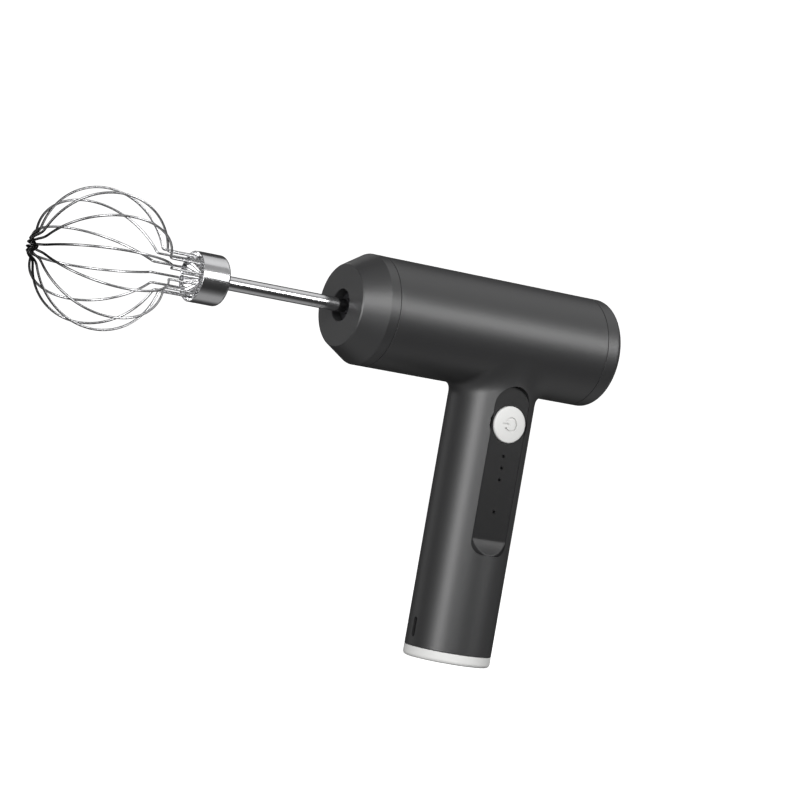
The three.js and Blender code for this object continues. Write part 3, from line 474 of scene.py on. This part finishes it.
def wire_finish(name, unshaded, shaded, **sockets):
    """The whisk's steel wire, with painted shade that darkens it toward where the wires cross."""
    nodes = Nodes(name)
    parts = nodes.add("ShaderNodeSeparateXYZ")
    nodes.link(nodes.place, parts.inputs["Vector"])
    # painted shade: near black toward the wires' crossing, the wire's own colour elsewhere
    out_of_shade = nodes.carry(parts.outputs["X"], SHADE_FRONT * MM, SHADE_REAR * MM)
    nodes.link(nodes.mix(out_of_shade, shaded, unshaded), nodes.shader.inputs["Base Color"])
    nodes.link(nodes.spread(nodes.noise(1500), 0.24, 0.30), nodes.shader.inputs["Roughness"])
    nodes.set_shader(sockets)
    return nodes.material


def finishes():
    """The finish of every material slot."""
    steel = {"Metallic": 1.0}
    made = {}

    def add(name, colour, rough, **look):
        made[name] = finish(name, colour, rough, **look)

    add("charcoal_casing", (0.018, 0.0181, 0.0188), (0.42, 0.47), Specular_IOR_Level=0.8)
    add("black_panel", (0.009, 0.009, 0.0094), (0.36, 0.42), Specular_IOR_Level=0.28)
    add("white_plastic", (0.62, 0.62, 0.61), (0.48, 0.54), tint=0.01, bump=0.08, Specular_IOR_Level=0.25)
    # near black: painted shade in the lamp holes, where the light guide shows through the panel
    add("clear_plastic", (0.004, 0.004, 0.0045), (0.12, 0.18), bump=0.03, Specular_IOR_Level=0.2)
    add("black_plastic", (0.016, 0.016, 0.018), (0.42, 0.52))
    add("nylon", (0.66, 0.63, 0.55), (0.42, 0.50), tint=0.02)
    add("circuit_board", (0.02, 0.12, 0.05), (0.30, 0.42), tint=0.15, mottle=400)
    add("battery_wrap", (0.03, 0.13, 0.36), (0.25, 0.32), tint=0.05)
    add("steel", (0.56, 0.56, 0.57), (0.18, 0.30), stretch=ROUND, bump=0.05, **steel)
    add("motor_steel", (0.42, 0.42, 0.44), (0.30, 0.42), bump=0.08, **steel)
    add("ferrite", (0.05, 0.05, 0.055), (0.60, 0.75), tint=0.15, bump=0.4)
    add("bronze", (0.50, 0.32, 0.13), (0.30, 0.45), tint=0.08, bump=0.1, **steel)
    add("copper", (0.72, 0.33, 0.16), (0.20, 0.35), tint=0.06, stretch=ALONG, **steel)
    add("red_wire", (0.45, 0.02, 0.015), (0.35, 0.45))
    add("black_wire", (0.012, 0.012, 0.013), (0.35, 0.45))
    add("seal_rubber", (0.02, 0.02, 0.021), (0.60, 0.75), bump=0.3)
    add("whisk_chrome", (0.62, 0.62, 0.63), (0.16, 0.22), tint=0.01, stretch=ROUND, bump=0.02, **steel)
    # the near-black second colour is painted shade toward the whisk's crossing
    made["whisk_wire"] = wire_finish("whisk_wire", (0.55, 0.55, 0.56), (0.02, 0.02, 0.02), **steel)
    return made


# ---------------------------------------------------------------- casing


def barrel_drop(distance, angle):
    """How far the barrel's underside lies below its axis, above a point out from the handle's axis."""
    return math.sqrt(BARREL_RADIUS**2 - (distance * math.sin(angle)) ** 2)


def fillet_column(angle, bottom, fillet_steps=14, column_steps=14):
    """One upright line of the handle's outside, from the barrel down to the base seam."""
    corner = HANDLE_RADIUS
    slope = corner * math.sin(angle) ** 2 / barrel_drop(corner, angle)
    reach = corner + FILLET / math.hypot(1, slope)
    end_slope = reach * math.sin(angle) ** 2 / barrel_drop(reach, angle)
    end = AXIS_HEIGHT - barrel_drop(reach, angle)
    middle = end - end_slope * (reach - corner)
    start = middle - FILLET
    column = []
    for k in range(fillet_steps + 1):
        t = 1 - k / fillet_steps
        a, b, c = (1 - t) ** 2, 2 * t * (1 - t), t**2
        column.append(((a + b) * corner + c * reach, a * start + b * middle + c * end))
    for k in range(1, column_steps + 1):
        column.append((corner, start + (bottom + EDGE - start) * k / column_steps))
    column += edge_round(corner, bottom)
    return [(r * math.cos(angle), r * math.sin(angle), z) for r, z in column] + [(0, 0, bottom)]


def edge_round(radius, face, inward=1, steps=3):
    """The rounded edge of a cylinder's end face, as (radius, along)."""
    angles = [TURN / 4 * k / steps for k in range(1, steps + 1)]
    centre = face + inward * EDGE
    return [(radius - EDGE + EDGE * math.cos(a), centre - inward * EDGE * math.sin(a)) for a in angles]


def unrolled(x, arc_length):
    """A point of the barrel's surface, from its place along the barrel and round from the underside."""
    angle = arc_length / BARREL_RADIUS
    return (x, BARREL_RADIUS * math.sin(angle), AXIS_HEIGHT - BARREL_RADIUS * math.cos(angle))


def barrel_columns(front, rear):
    """Directions round the handle, each with where it ends on the edge of the unrolled barrel."""
    half = TURN / 2 * BARREL_RADIUS
    corners = [(rear, -half, -62), (rear, half, 62), (front, half, 132), (front, -half, 228)]
    corners.append((rear, -half, 298))
    columns = []
    for (x0, s0, a0), (x1, s1, a1) in zip(corners, corners[1:]):
        steps = 2 * round((a1 - a0) / 3)  # an even number, of about 1.5 degrees each
        for i in range(steps):
            share = i / steps
            x, s, a = (start + (end - start) * share for start, end in ((x0, x1), (s0, s1), (a0, a1)))
            columns.append((math.radians(a), x, s))
    return columns


def barrel_lines(columns, bottom, rings=26, crowding=1.25):
    """The skin's lines, each from the edge of the barrel in to the handle and down to the base seam."""
    lines = []
    for angle, x, s in columns:
        column = fillet_column(angle, bottom)
        start_x, start_y, _ = column[0]
        start_s = BARREL_RADIUS * math.asin(start_y / BARREL_RADIUS)
        line = []
        for k in range(rings, 0, -1):
            share = (k / rings) ** crowding
            line.append(unrolled(start_x + (x - start_x) * share, start_s + (s - start_s) * share))
        lines.append(line + column)
    return lines


def barrel_end(columns, face, inward):
    """A flat end of the barrel with its rounded edge, as rows of points that fit the skin's edge."""
    centre = face + inward * EDGE
    ends = {s / BARREL_RADIUS for _, x, s in columns if abs(x - centre) < 1e-6}
    ends = sorted({round(angle, 9) for angle in ends} | {-round(TURN / 2, 9), round(TURN / 2, 9)})
    profile = [(BARREL_RADIUS, centre)] + edge_round(BARREL_RADIUS, face, inward) + [(0, face)]
    return [[(along, r * math.sin(a), AXIS_HEIGHT - r * math.cos(a)) for r, along in profile] for a in ends]


def net(rows, first, closed=False):
    """Faces between neighbouring rows of points that are numbered one row after another."""
    size = len(rows[0])
    faces = []
    for i in range(len(rows) if closed else len(rows) - 1):
        here = first + i * size
        there = first + (i + 1) % len(rows) * size
        faces += [[here + k, there + k, there + k + 1, here + k + 1] for k in range(size - 1)]
    return faces


def housing_outside():
    """The barrel and handle as one skin: rings of the barrel's surface spread from the handle's fillet."""
    front = FRONT_SEAM + SEAM / 2
    rear = REAR_SEAM - SEAM / 2
    columns = barrel_columns(front + EDGE, rear - EDGE)
    lines = barrel_lines(columns, BASE_SEAM + SEAM / 2)
    points = [point for line in lines for point in line]
    faces = net(lines, 0, closed=True)
    for face, inward in ((front, 1), (rear, -1)):
        end = barrel_end(columns, face, inward)
        faces += net(end, len(points))
        points += [point for row in end for point in row]
    return solid(points, faces)


def panel_outline(grow=0.0):
    half = PANEL_HALF_WIDTH + grow
    return slot_outline(half, PANEL_BOTTOM - grow, PANEL_TOP + grow, PANEL_CORNER + grow, half, 24)


def port_outline():
    half, radius = PORT_LENGTH / 2, PORT_WIDTH / 2
    return slot_outline(radius, PORT_HEIGHT - half, PORT_HEIGHT + half, radius, radius, 12)


def main_housing():
    window_bottom = PANEL_BOTTOM + WINDOW_RAISE
    window = slot_outline(WINDOW_HALF_WIDTH, window_bottom, BUTTON_HEIGHT, WINDOW_CORNER, WINDOW_CORNER)
    flange = circle(BUTTON_FLANGE + BUTTON_FLANGE_GAP, 0, BUTTON_HEIGHT)
    shell = cut(
        housing_outside(),
        rod(BARREL_BORE, FRONT_SEAM - PAST, REAR_SEAM + PAST, BARREL),
        rod(HANDLE_BORE, BASE_SEAM - PAST, AXIS_HEIGHT, UPRIGHT),
        prism(panel_outline(PANEL_GAP), PANEL_BACK - CLEARANCE, BARREL_RADIUS, PANEL),
        prism(window, BOARD_FACE, PANEL_FACE, PANEL),
        prism(flange, BOARD_FACE, PANEL_FACE, PANEL),
        prism(port_outline(), HANDLE_BORE / 2, HANDLE_RADIUS + PAST, PORT),
    )
    settle(shell, "housing_shell", "housing", "charcoal_casing", "main_housing")


def nose_cap():
    seam = FRONT_SEAM - SEAM / 2
    inner = SKIRT_RADIUS - SKIRT_WALL
    back = NOSE_FACE + NOSE_WALL
    seat = NOSE_HOLE + SEAL_SEAT
    profile = rounded([
        (NOSE_HOLE, NOSE_FACE, 0.35),
        (NOSE_FACE_RADIUS - NOSE_BEVEL, NOSE_FACE, 0.12),
        (NOSE_FACE_RADIUS, NOSE_FACE + NOSE_BEVEL, 0.12),
        (BARREL_RADIUS, NOSE_SHOULDER, 0.3),
        (BARREL_RADIUS, seam, EDGE),
        (SKIRT_RADIUS, seam, 0),
        (SKIRT_RADIUS, seam + SKIRT_LENGTH, 0),
        (inner, seam + SKIRT_LENGTH, 0),
        (inner, NOSE_SHOULDER, 0),
        (NOSE_FACE_RADIUS - NOSE_CONE_INSIDE, back, 0),
        (NOSE_BOSS, back, 0),
        (NOSE_BOSS, NOSE_BOSS_END, 0),
        (seat, NOSE_BOSS_END, 0),
        (seat, NOSE_BOSS_END - SEAL_DEPTH, 0),
        (NOSE_HOLE, NOSE_BOSS_END - SEAL_DEPTH, 0),
    ], closed=True)
    cone = lathe(profile, BARREL, CASING_SIDES)
    settle(cone, "nose_cone", "housing", "charcoal_casing", "nose_cap", angle=25)


def rear_cap():
    seam = REAR_SEAM + SEAM / 2
    inner = SKIRT_RADIUS - SKIRT_WALL
    profile = rounded([
        (0, REAR_END, 0),
        (BARREL_RADIUS, REAR_END, REAR_ROUNDING),
        (BARREL_RADIUS, seam, EDGE),
        (SKIRT_RADIUS, seam, 0),
        (SKIRT_RADIUS, seam - SKIRT_LENGTH, 0),
        (inner, seam - SKIRT_LENGTH, 0),
        (inner, REAR_END - CAP_WALL, REAR_ROUNDING),
        (0, REAR_END - CAP_WALL, 0),
    ], steps=12)
    dome = lathe(profile, BARREL, CASING_SIDES)
    settle(dome, "rear_dome", "housing", "charcoal_casing", "rear_cap", angle=25)


def base_cap():
    top = BASE_SEAM - SEAM / 2
    plug = HANDLE_BORE - CLEARANCE
    profile = rounded([
        (0, 0, 0),
        (HANDLE_RADIUS, 0, BASE_ROUNDING),
        (HANDLE_RADIUS, top, EDGE),
        (plug, top, 0),
        (plug, top + PLUG_LENGTH, 0.3),
        (plug - SKIRT_WALL, top + PLUG_LENGTH, 0.3),
        (plug - SKIRT_WALL, CAP_WALL, 0),
        (0, CAP_WALL, 0),
    ], steps=8)
    cover = lathe(profile, UPRIGHT, CASING_SIDES)
    settle(cover, "base_cover", "housing", "white_plastic", "base_cap", angle=25)


# ---------------------------------------------------------------- controls


def panel_height(x, height):
    """How far out the panel's face lies: flat, with a lower end that curves up to the handle's surface."""
    below = max(PANEL_BOTTOM + SCOOP_LENGTH - height, 0) / SCOOP_LENGTH
    face = PANEL_FACE + (HANDLE_RADIUS - PANEL_FACE) * below**SCOOP_CURVE
    handle = math.sqrt(HANDLE_RADIUS**2 - x**2) - SCOOP_SINK
    share = min(max(0.5 + 0.5 * (handle - face) / SCOOP_BLEND, 0), 1)
    return handle + (face - handle) * share - SCOOP_BLEND * share * (1 - share)


def panel_body():
    """A solid under the panel's face, wider and longer than the panel."""
    half = PANEL_HALF_WIDTH + PAST
    across = steps_between(-half, half, 48)
    scoop_top = PANEL_BOTTOM + SCOOP_LENGTH + PAST
    heights = steps_between(PANEL_BOTTOM - PAST, scoop_top, 24)
    heights += steps_between(scoop_top, PANEL_TOP + PAST, 8)[1:]
    columns, rows = len(across), len(heights)
    points = [(x, z, panel_height(x, z)) for z in heights for x in across]
    points += [(x, z, PANEL_BACK) for z in heights for x in across]
    below = columns * rows
    faces = []
    for k in range(rows - 1):
        for i in range(columns - 1):
            at = k * columns + i
            top = [at, at + 1, at + columns + 1, at + columns]
            faces += [top, [below + c for c in reversed(top)]]
    rim = [*range(columns), *range(2 * columns - 1, below, columns)]
    rim += [*range(below - 2, below - columns - 1, -1), *range(below - 2 * columns, 0, -columns)]
    for a, b in zip(rim, rim[1:] + rim[:1]):
        faces.append([a, b, below + b, below + a])
    return solid(points, faces, PANEL)


def control_panel():
    panel = combine("INTERSECT", panel_body(), prism(panel_outline(), PANEL_BACK, BARREL_RADIUS, PANEL))
    hole = circle(BUTTON_RADIUS + BUTTON_GAP, 0, BUTTON_HEIGHT, SMALL_SIDES)
    cut(panel, prism(hole, 0, BARREL_RADIUS, PANEL))
    for height in LIGHT_HEIGHTS:
        cut(panel, prism(circle(LIGHT_HOLE, 0, height, 24), 0, BARREL_RADIUS, PANEL))
    settle(panel, "panel_plate", "housing", "black_panel", "control_panel")


def line_end(angle, start):
    """The round end of a curved line of the symbol."""
    x, y = SYMBOL_RADIUS * math.cos(angle), SYMBOL_RADIUS * math.sin(angle)
    return arc(x, y, SYMBOL_LINE, start, start + TURN / 2, 6)[1:-1]


def symbol_grooves():
    """The usual sign for power, turned a quarter: a ring with an opening, and a bar in the opening."""
    start, end = TURN / 2 + SYMBOL_OPENING, 1.5 * TURN - SYMBOL_OPENING
    ring = arc(0, 0, SYMBOL_RADIUS + SYMBOL_LINE, start, end, 40) + line_end(end, end)
    ring += arc(0, 0, SYMBOL_RADIUS - SYMBOL_LINE, end, start, 40) + line_end(start, start + TURN / 2)
    left, right = SYMBOL_BAR
    bar = arc(right, 0, SYMBOL_LINE, -TURN / 4, TURN / 4, 6)
    bar += arc(left, 0, SYMBOL_LINE, TURN / 4, 0.75 * TURN, 6)
    floor = BUTTON_FACE - SYMBOL_DEPTH
    place = PANEL @ Matrix.Translation((0, BUTTON_HEIGHT, 0))
    return [prism(without_repeats(outline), floor, BUTTON_FACE + PAST, place) for outline in (ring, bar)]


def power_button():
    flange_front = PANEL_BACK - CLEARANCE
    back = flange_front - BUTTON_FLANGE_THICKNESS
    inner = BUTTON_RADIUS - BUTTON_WALL
    ceiling = BUTTON_FACE - BUTTON_SKIN
    face = [(0, BUTTON_FACE)]
    face += [(r, BUTTON_FACE - BUTTON_CROWN * (r / BUTTON_RADIUS) ** 2) for r in BUTTON_CROWN_RADII]
    edge = rounded([
        (BUTTON_CROWN_RADII[-1], BUTTON_FACE - BUTTON_CROWN_DROP, 0),
        (BUTTON_RADIUS, BUTTON_FACE - BUTTON_CROWN - BUTTON_RIM_DROP, BUTTON_ROUNDING),
        (BUTTON_RADIUS, flange_front, 0),
    ], steps=8)[1:]
    inside = [
        (BUTTON_FLANGE, flange_front), (BUTTON_FLANGE, back), (inner, back),
        (inner, ceiling), (BUTTON_STEM, ceiling), (BUTTON_STEM, back), (0, back),
    ]
    place = PANEL @ Matrix.Translation((0, BUTTON_HEIGHT, 0))
    button = lathe(face + edge + inside, place, SMALL_SIDES)
    cut(button, *symbol_grooves())
    settle(button, "button_cap", "power_button", "white_plastic", "power_button")


# ---------------------------------------------------------------- charging socket


def charging_socket():
    """A drawn metal shell with a tongue, at the back of the slot."""
    half = PORT_LENGTH / 2 + PORT_EASE
    thick = PORT_WIDTH / 2 + PORT_WALL

    def shell_outline(shrink):
        radius = thick - shrink
        reach = half - shrink
        return slot_outline(radius, PORT_HEIGHT - reach, PORT_HEIGHT + reach, radius, radius, 10)

    front = -PORT_FRONT
    back = front - PORT_DEPTH
    shell = cut(
        prism(shell_outline(0), back, front, PORT),
        prism(shell_outline(PORT_WALL), back + PORT_BACK_WALL, front + PAST, PORT),
    )
    reach = half - TONGUE_INSET
    low = (-TONGUE_HALF_THICKNESS, PORT_HEIGHT - reach, back + TONGUE_ROOT)
    high = (TONGUE_HALF_THICKNESS, PORT_HEIGHT + reach, front - TONGUE_SET_BACK)
    join(shell, soften(block(low, high, PORT), TONGUE_BEVEL))
    settle(shell, "socket_shell", "housing", "steel", "usb_port")


# ---------------------------------------------------------------- whisk


def drive_socket():
    bore = SHAFT_RADIUS + CLEARANCE
    counterbore = SPINDLE_RADIUS + CLEARANCE
    counterbore_front = SPINDLE_FRONT - CLEARANCE
    profile = rounded([
        (bore, SOCKET_FRONT, 0.4),
        (SOCKET_RADIUS, SOCKET_FRONT, 0.5),
        (SOCKET_RADIUS, SOCKET_REAR, 0),
        (counterbore, SOCKET_REAR, 0),
        (counterbore, counterbore_front, 0),
        (bore, counterbore_front, 0),
    ], closed=True)
    half_width = TAB_WIDTH / 2 + CLEARANCE
    half_thickness = TAB_THICKNESS / 2 + CLEARANCE
    rear = TAB_FRONT + TAB_LENGTH + CLEARANCE
    front = SOCKET_FRONT - PAST
    slot = block((-half_thickness, -half_width, front), (half_thickness, half_width, rear), BARREL)
    sleeve = cut(lathe(profile, BARREL, SMALL_SIDES), slot)
    settle(sleeve, "drive_sleeve", "output_drive", "black_plastic", "drive_socket")


def whisk_shaft():
    """A tube with two side tabs at its front and a snap tip at its rear."""
    bore = SHAFT_RADIUS - SHAFT_WALL
    profile = rounded([
        (0, SHAFT_BOTTOM, 0),
        (bore, SHAFT_BOTTOM, 0),
        (bore, SHAFT_FRONT, 0.1),
        (SHAFT_RADIUS, SHAFT_FRONT, 0.2),
        (SHAFT_RADIUS, SHAFT_SHOULDER, 0.5),
        (NECK_RADIUS, SHAFT_SHOULDER, 0.2),
        (NECK_RADIUS, NECK_REAR, 0.3),
        (BEAD_RADIUS, BEAD_FRONT, 0.3),
        (BEAD_RADIUS, BEAD_REAR, 0.5),
        (TIP_RADIUS, SHAFT_TIP, 0.4),
        (0, SHAFT_TIP, 0),
    ])
    side, front, rear = TAB_WIDTH / 2, TAB_FRONT, TAB_FRONT + TAB_LENGTH
    corner = side - TAB_CORNER_WIDTH
    wing = [
        (side, front + TAB_CORNER), (side, rear - TAB_CORNER), (corner, rear), (-corner, rear),
        (-side, rear - TAB_CORNER), (-side, front + TAB_CORNER), (-corner, front), (corner, front),
    ]
    tabs = soften(prism(wing, -TAB_THICKNESS / 2, TAB_THICKNESS / 2, FLAT), TAB_BEVEL)
    shaft = join(lathe(profile, BARREL, SMALL_SIDES), tabs)
    settle(shaft, "shaft_tube", "whisk", "whisk_chrome", "whisk_shaft")


def whisk_ferrule():
    inner = FERRULE_RADIUS - FERRULE_WALL
    hole = SHAFT_RADIUS + CLEARANCE
    profile = rounded([
        (inner, FERRULE_FRONT, 0.2),
        (FERRULE_RADIUS, FERRULE_FRONT, 0.3),
        (FERRULE_RADIUS, FERRULE_REAR, 1.7),
        (hole, FERRULE_REAR, 0.3),
        (hole, FERRULE_REAR - FERRULE_BACK, 0),
        (inner, FERRULE_REAR - FERRULE_BACK, 0.6),
    ], closed=True, steps=8)
    cup = lathe(profile, BARREL)
    settle(cup, "ferrule_cup", "whisk", "whisk_chrome", "whisk_ferrule", angle=25)


def whisk_core():
    """The plug inside the ferrule: a fluted collar round a recess."""
    hole = SHAFT_RADIUS + CLEARANCE
    inner = CORE_RADIUS - CORE_WALL
    floor_back = CORE_FLOOR + CORE_WALL
    rear_front = CORE_REAR - CORE_WALL
    profile = [
        (0, CORE_FLOOR),
        (CORE_FLOOR_RADIUS, CORE_FLOOR),
        (CORE_RADIUS, CORE_FRONT),
        (COLLAR_RADIUS, CORE_FRONT),
        (COLLAR_RADIUS, CORE_FRONT + COLLAR_LENGTH),
        (CORE_RADIUS, CORE_FRONT + COLLAR_LENGTH + COLLAR_TAPER),
        (CORE_RADIUS, CORE_REAR),
        (hole, CORE_REAR),
        (hole, rear_front),
        (inner, rear_front),
        (inner, CORE_FRONT + CORE_SHELL),
        (CORE_FLOOR_RADIUS, floor_back),
        (0, floor_back),
    ]
    core = lathe(profile, BARREL, FLUTES * 8)
    flute(core)
    settle(core, "core_plug", "whisk", "whisk_wire", "whisk_core")


def flute(core):
    """Presses the flutes into the front of the core's collar."""
    back = BARREL.inverted()
    for vertex in core.data.vertices:
        place = back @ vertex.co
        across = math.hypot(place.x, place.y)
        if across > FLUTE_START and place.z < CORE_FRONT + FLUTE_LENGTH:
            turn = math.atan2(place.y, place.x)
            place.z += FLUTE_DEPTH * (1 - math.cos(FLUTES * turn))
            vertex.co = BARREL @ place


def on_ball(angle, shift):
    """A point of a hoop on the ball, as (across, along), from the angle off the whisk's axis."""
    across = BALL_RADIUS * math.sin(angle)
    along = BALL_CENTRE + BALL_RADIUS * math.cos(angle)
    if angle > TURN / 4:
        along -= LIP_BULGE * math.exp(-(((across - LIP_RADIUS) / LIP_WIDTH) ** 2))
        along += shift * math.exp(-((across / LIP_RADIUS) ** 2))
    return (across, along)


def bend_through(start, corner, end, steps):
    """Points of a curve that leaves start toward the corner and reaches end from it."""
    line = []
    for k in range(steps + 1):
        t = k / steps
        a, b, c = (1 - t) ** 2, 2 * t * (1 - t), t**2
        line.append(tuple(a * p + b * q + c * r for p, q, r in zip(start, corner, end)))
    return line


def hoop_line(index):
    """Half of a hoop's line, from the ferrule to the crossing, as (across, along)."""
    shift = (index - (HOOP_COUNT - 1) / 2) * HOOP_STEP
    neck = math.asin(WIRE_CIRCLE / BALL_RADIUS)
    corner = on_ball(neck, shift)
    bend_end = neck + KINK
    bend_start = (WIRE_CIRCLE, corner[1] + KINK * BALL_RADIUS)
    line = [(WIRE_CIRCLE, along) for along in steps_between(WIRE_END, bend_start[1], 8)[:-1]]
    line += bend_through(bend_start, corner, on_ball(bend_end, shift), 5)
    line += [on_ball(angle, shift) for angle in steps_between(bend_end, TURN / 2, 90)[1:-1]]
    return line + [(0, on_ball(TURN / 2, shift)[1])]


def wire_hoop(index, sides=14):
    half = hoop_line(index)
    line = half + [(-across, along) for across, along in reversed(half[:-1])]
    points, faces = [], []
    for i, (across, along) in enumerate(line):
        before, after = line[max(i - 1, 0)], line[min(i + 1, len(line) - 1)]
        tangent = Vector((after[0] - before[0], after[1] - before[1])).normalized()
        for x, y in circle(WIRE_RADIUS, sides=sides):
            points.append((across - tangent.y * x, y, along + tangent.x * x))
    for i in range(len(line) - 1):
        for k in range(sides):
            m = (k + 1) % sides
            faces.append([i * sides + k, i * sides + m, (i + 1) * sides + m, (i + 1) * sides + k])
    faces += [list(range(sides)), list(range(len(points) - sides, len(points)))]
    place = BARREL @ Matrix.Rotation(HOOP_TURN + index * TURN / 2 / HOOP_COUNT, 4, "Z")
    name = f"wire_hoop_{index + 1}"
    settle(solid(points, faces, place), f"whisk_wire_{index + 1}", "whisk", "whisk_wire", name, angle=50)


# ---------------------------------------------------------------- stage, light and camera

SURROUNDINGS = (  # angle round the barrel's axis from level in front, in degrees, and brightness there
    (-180, 0.05), (-130, 0.05), (-108, 0.42), (-78, 0.42), (-58, 0.14), (-42, 0.04),
    (18, 0.06), (42, 0.42), (88, 0.42), (120, 0.06), (180, 0.05),
)
VIEW_AZIMUTH = -32.11  # angles in degrees, distances in metres
VIEW_ELEVATION = -0.24
VIEW_ROLL = 9.905
VIEW_DISTANCE = 1.3058
VIEW_LENS = 140.1
VIEW_RIGHT = -0.04288  # how far the camera stands to the right of the line to the barrel's middle
VIEW_UP = -0.02666
SENSOR_WIDTH = 36
LIGHT_TARGET = Vector((0, 0, 0.11))
STAGE_FLAT = 2200.0  # in millimetres, as the solids are
STAGE_BEND = 900.0
STAGE_TOP = 3200.0
STAGE_GLOW = 0.78
SOFTBOXES = (  # name, azimuth, elevation, distance, width, height, brightness; in degrees and metres
    ("handle_light", -63, 3, 1.6, 0.50, 0.90, 11.5),
    ("barrel_light", 34, 18, 1.6, 0.50, 0.56, 11.5),
    ("cone_light", -25, 21, 1.6, 0.50, 0.76, 12.0),
    ("top_light", 95, 58, 1.5, 1.30, 1.10, 0.6),
    ("face_light", -148, 0, 1.6, 0.60, 0.60, 0.8),
    ("back_light", -176, 32, 1.6, 0.80, 0.80, 1.1),
)


def direction(azimuth, elevation):
    """The unit vector toward an azimuth, from -Y round toward +X, and an elevation, in degrees."""
    a, e = math.radians(azimuth), math.radians(elevation)
    return Vector((math.sin(a) * math.cos(e), -math.cos(a) * math.cos(e), math.sin(e)))


def add_camera():
    """A camera off in the view's direction from the barrel's middle, rolled and moved a little."""
    back = direction(VIEW_AZIMUTH, VIEW_ELEVATION)
    level = Vector((math.cos(math.radians(VIEW_AZIMUTH)), math.sin(math.radians(VIEW_AZIMUTH)), 0))
    upright = back.cross(level)
    roll = math.radians(VIEW_ROLL)
    right = level * math.cos(roll) + upright * math.sin(roll)
    up = upright * math.cos(roll) - level * math.sin(roll)
    camera = bpy.data.objects.new("camera", bpy.data.cameras.new("camera"))
    camera.data.lens = VIEW_LENS
    camera.data.sensor_width = SENSOR_WIDTH
    camera.data.clip_start, camera.data.clip_end = 0.01, 50
    bpy.context.scene.collection.objects.link(camera)
    target = Vector((0, 0, AXIS_HEIGHT * MM))
    place = Matrix((right, up, back)).transposed().to_4x4()
    place.translation = target + back * VIEW_DISTANCE + right * VIEW_RIGHT + up * VIEW_UP
    camera.matrix_world = place
    bpy.context.scene.camera = camera


def add_stage():
    """A pale floor that curves up into a pale wall all round.  Only the camera sees it."""
    profile = [(0, 0), (STAGE_FLAT / 2, 0), (STAGE_FLAT, 0)]
    profile += arc(STAGE_FLAT, STAGE_BEND, STAGE_BEND, -TURN / 4, 0, 16)[1:]
    profile.append((STAGE_FLAT + STAGE_BEND, STAGE_TOP))
    stage = lathe(profile, UPRIGHT, 96)
    stage.name = "stage_floor"
    stage.data.transform(Matrix.Scale(MM, 4))
    stage.data.flip_normals()
    for face in stage.data.polygons:
        face.use_smooth = True
    white = finish(
        "stage_white", (0.80, 0.80, 0.80), (0.80, 0.90), tint=0.01, mottle=2, grain=300, bump=0.02,
        Emission_Color=(1, 1, 1, 1), Emission_Strength=STAGE_GLOW,
    )
    stage.data.materials.append(white)
    stage.visible_diffuse = False
    stage.visible_glossy = False
    stage.visible_transmission = False
    stage.visible_shadow = False


def add_softbox(name, azimuth, elevation, distance, width, height, brightness):
    """A soft panel of light that faces the object."""
    lamp = bpy.data.lights.new(name, "AREA")
    lamp.shape = "RECTANGLE"
    lamp.size, lamp.size_y = width, height
    lamp.energy = brightness * math.pi * width * height
    box = bpy.data.objects.new(name, lamp)
    away = direction(azimuth, elevation)
    box.location = LIGHT_TARGET + away * distance
    box.rotation_mode = "QUATERNION"
    box.rotation_quaternion = away.to_track_quat("Z", "Y")
    box.visible_camera = False
    bpy.context.scene.collection.objects.link(box)


def add_surroundings():
    """Even light that changes round the barrel's axis: dark in front and behind, bright above and below."""
    world = bpy.data.worlds.new("surroundings")
    world.use_nodes = True
    bpy.context.scene.world = world
    nodes, links = world.node_tree.nodes, world.node_tree.links
    ramp = nodes.new("ShaderNodeValToRGB")
    while len(ramp.color_ramp.elements) < len(SURROUNDINGS):
        ramp.color_ramp.elements.new(0.5)
    for element, (degrees, value) in zip(ramp.color_ramp.elements, SURROUNDINGS):
        element.position = (degrees + 180) / 360
        element.color = (value, value, value, 1)
    coordinates = nodes.new("ShaderNodeTexCoord")
    parts = nodes.new("ShaderNodeSeparateXYZ")
    front = nodes.new("ShaderNodeMath")
    front.operation = "MULTIPLY"
    front.inputs[1].default_value = -1
    turn = nodes.new("ShaderNodeMath")
    turn.operation = "ARCTAN2"
    reach = nodes.new("ShaderNodeMapRange")
    reach.inputs["From Min"].default_value = -math.pi
    reach.inputs["From Max"].default_value = math.pi
    links.new(coordinates.outputs["Generated"], parts.inputs["Vector"])
    links.new(parts.outputs["Y"], front.inputs[0])
    links.new(parts.outputs["Z"], turn.inputs[0])
    links.new(front.outputs["Value"], turn.inputs[1])
    links.new(turn.outputs["Value"], reach.inputs["Value"])
    links.new(reach.outputs["Result"], ramp.inputs["Fac"])
    links.new(ramp.outputs["Color"], nodes["Background"].inputs["Color"])


# ---------------------------------------------------------------- putting it together

FINISHES = finishes()
for row in frame["record"]["subparts"]:
    mesh = frame["nodes"][row["node"]].data
    mesh.materials.clear()
    mesh.materials.append(FINISHES[row["material_slot"]])

add_camera()
add_stage()
add_surroundings()
for softbox in SOFTBOXES:
    add_softbox(*softbox)
bpy.context.scene.view_settings.view_transform = "Standard"
main_housing()
nose_cap()
rear_cap()
base_cap()
control_panel()
power_button()
charging_socket()
drive_socket()
whisk_shaft()
whisk_ferrule()
whisk_core()
for hoop in range(HOOP_COUNT):
    wire_hoop(hoop)
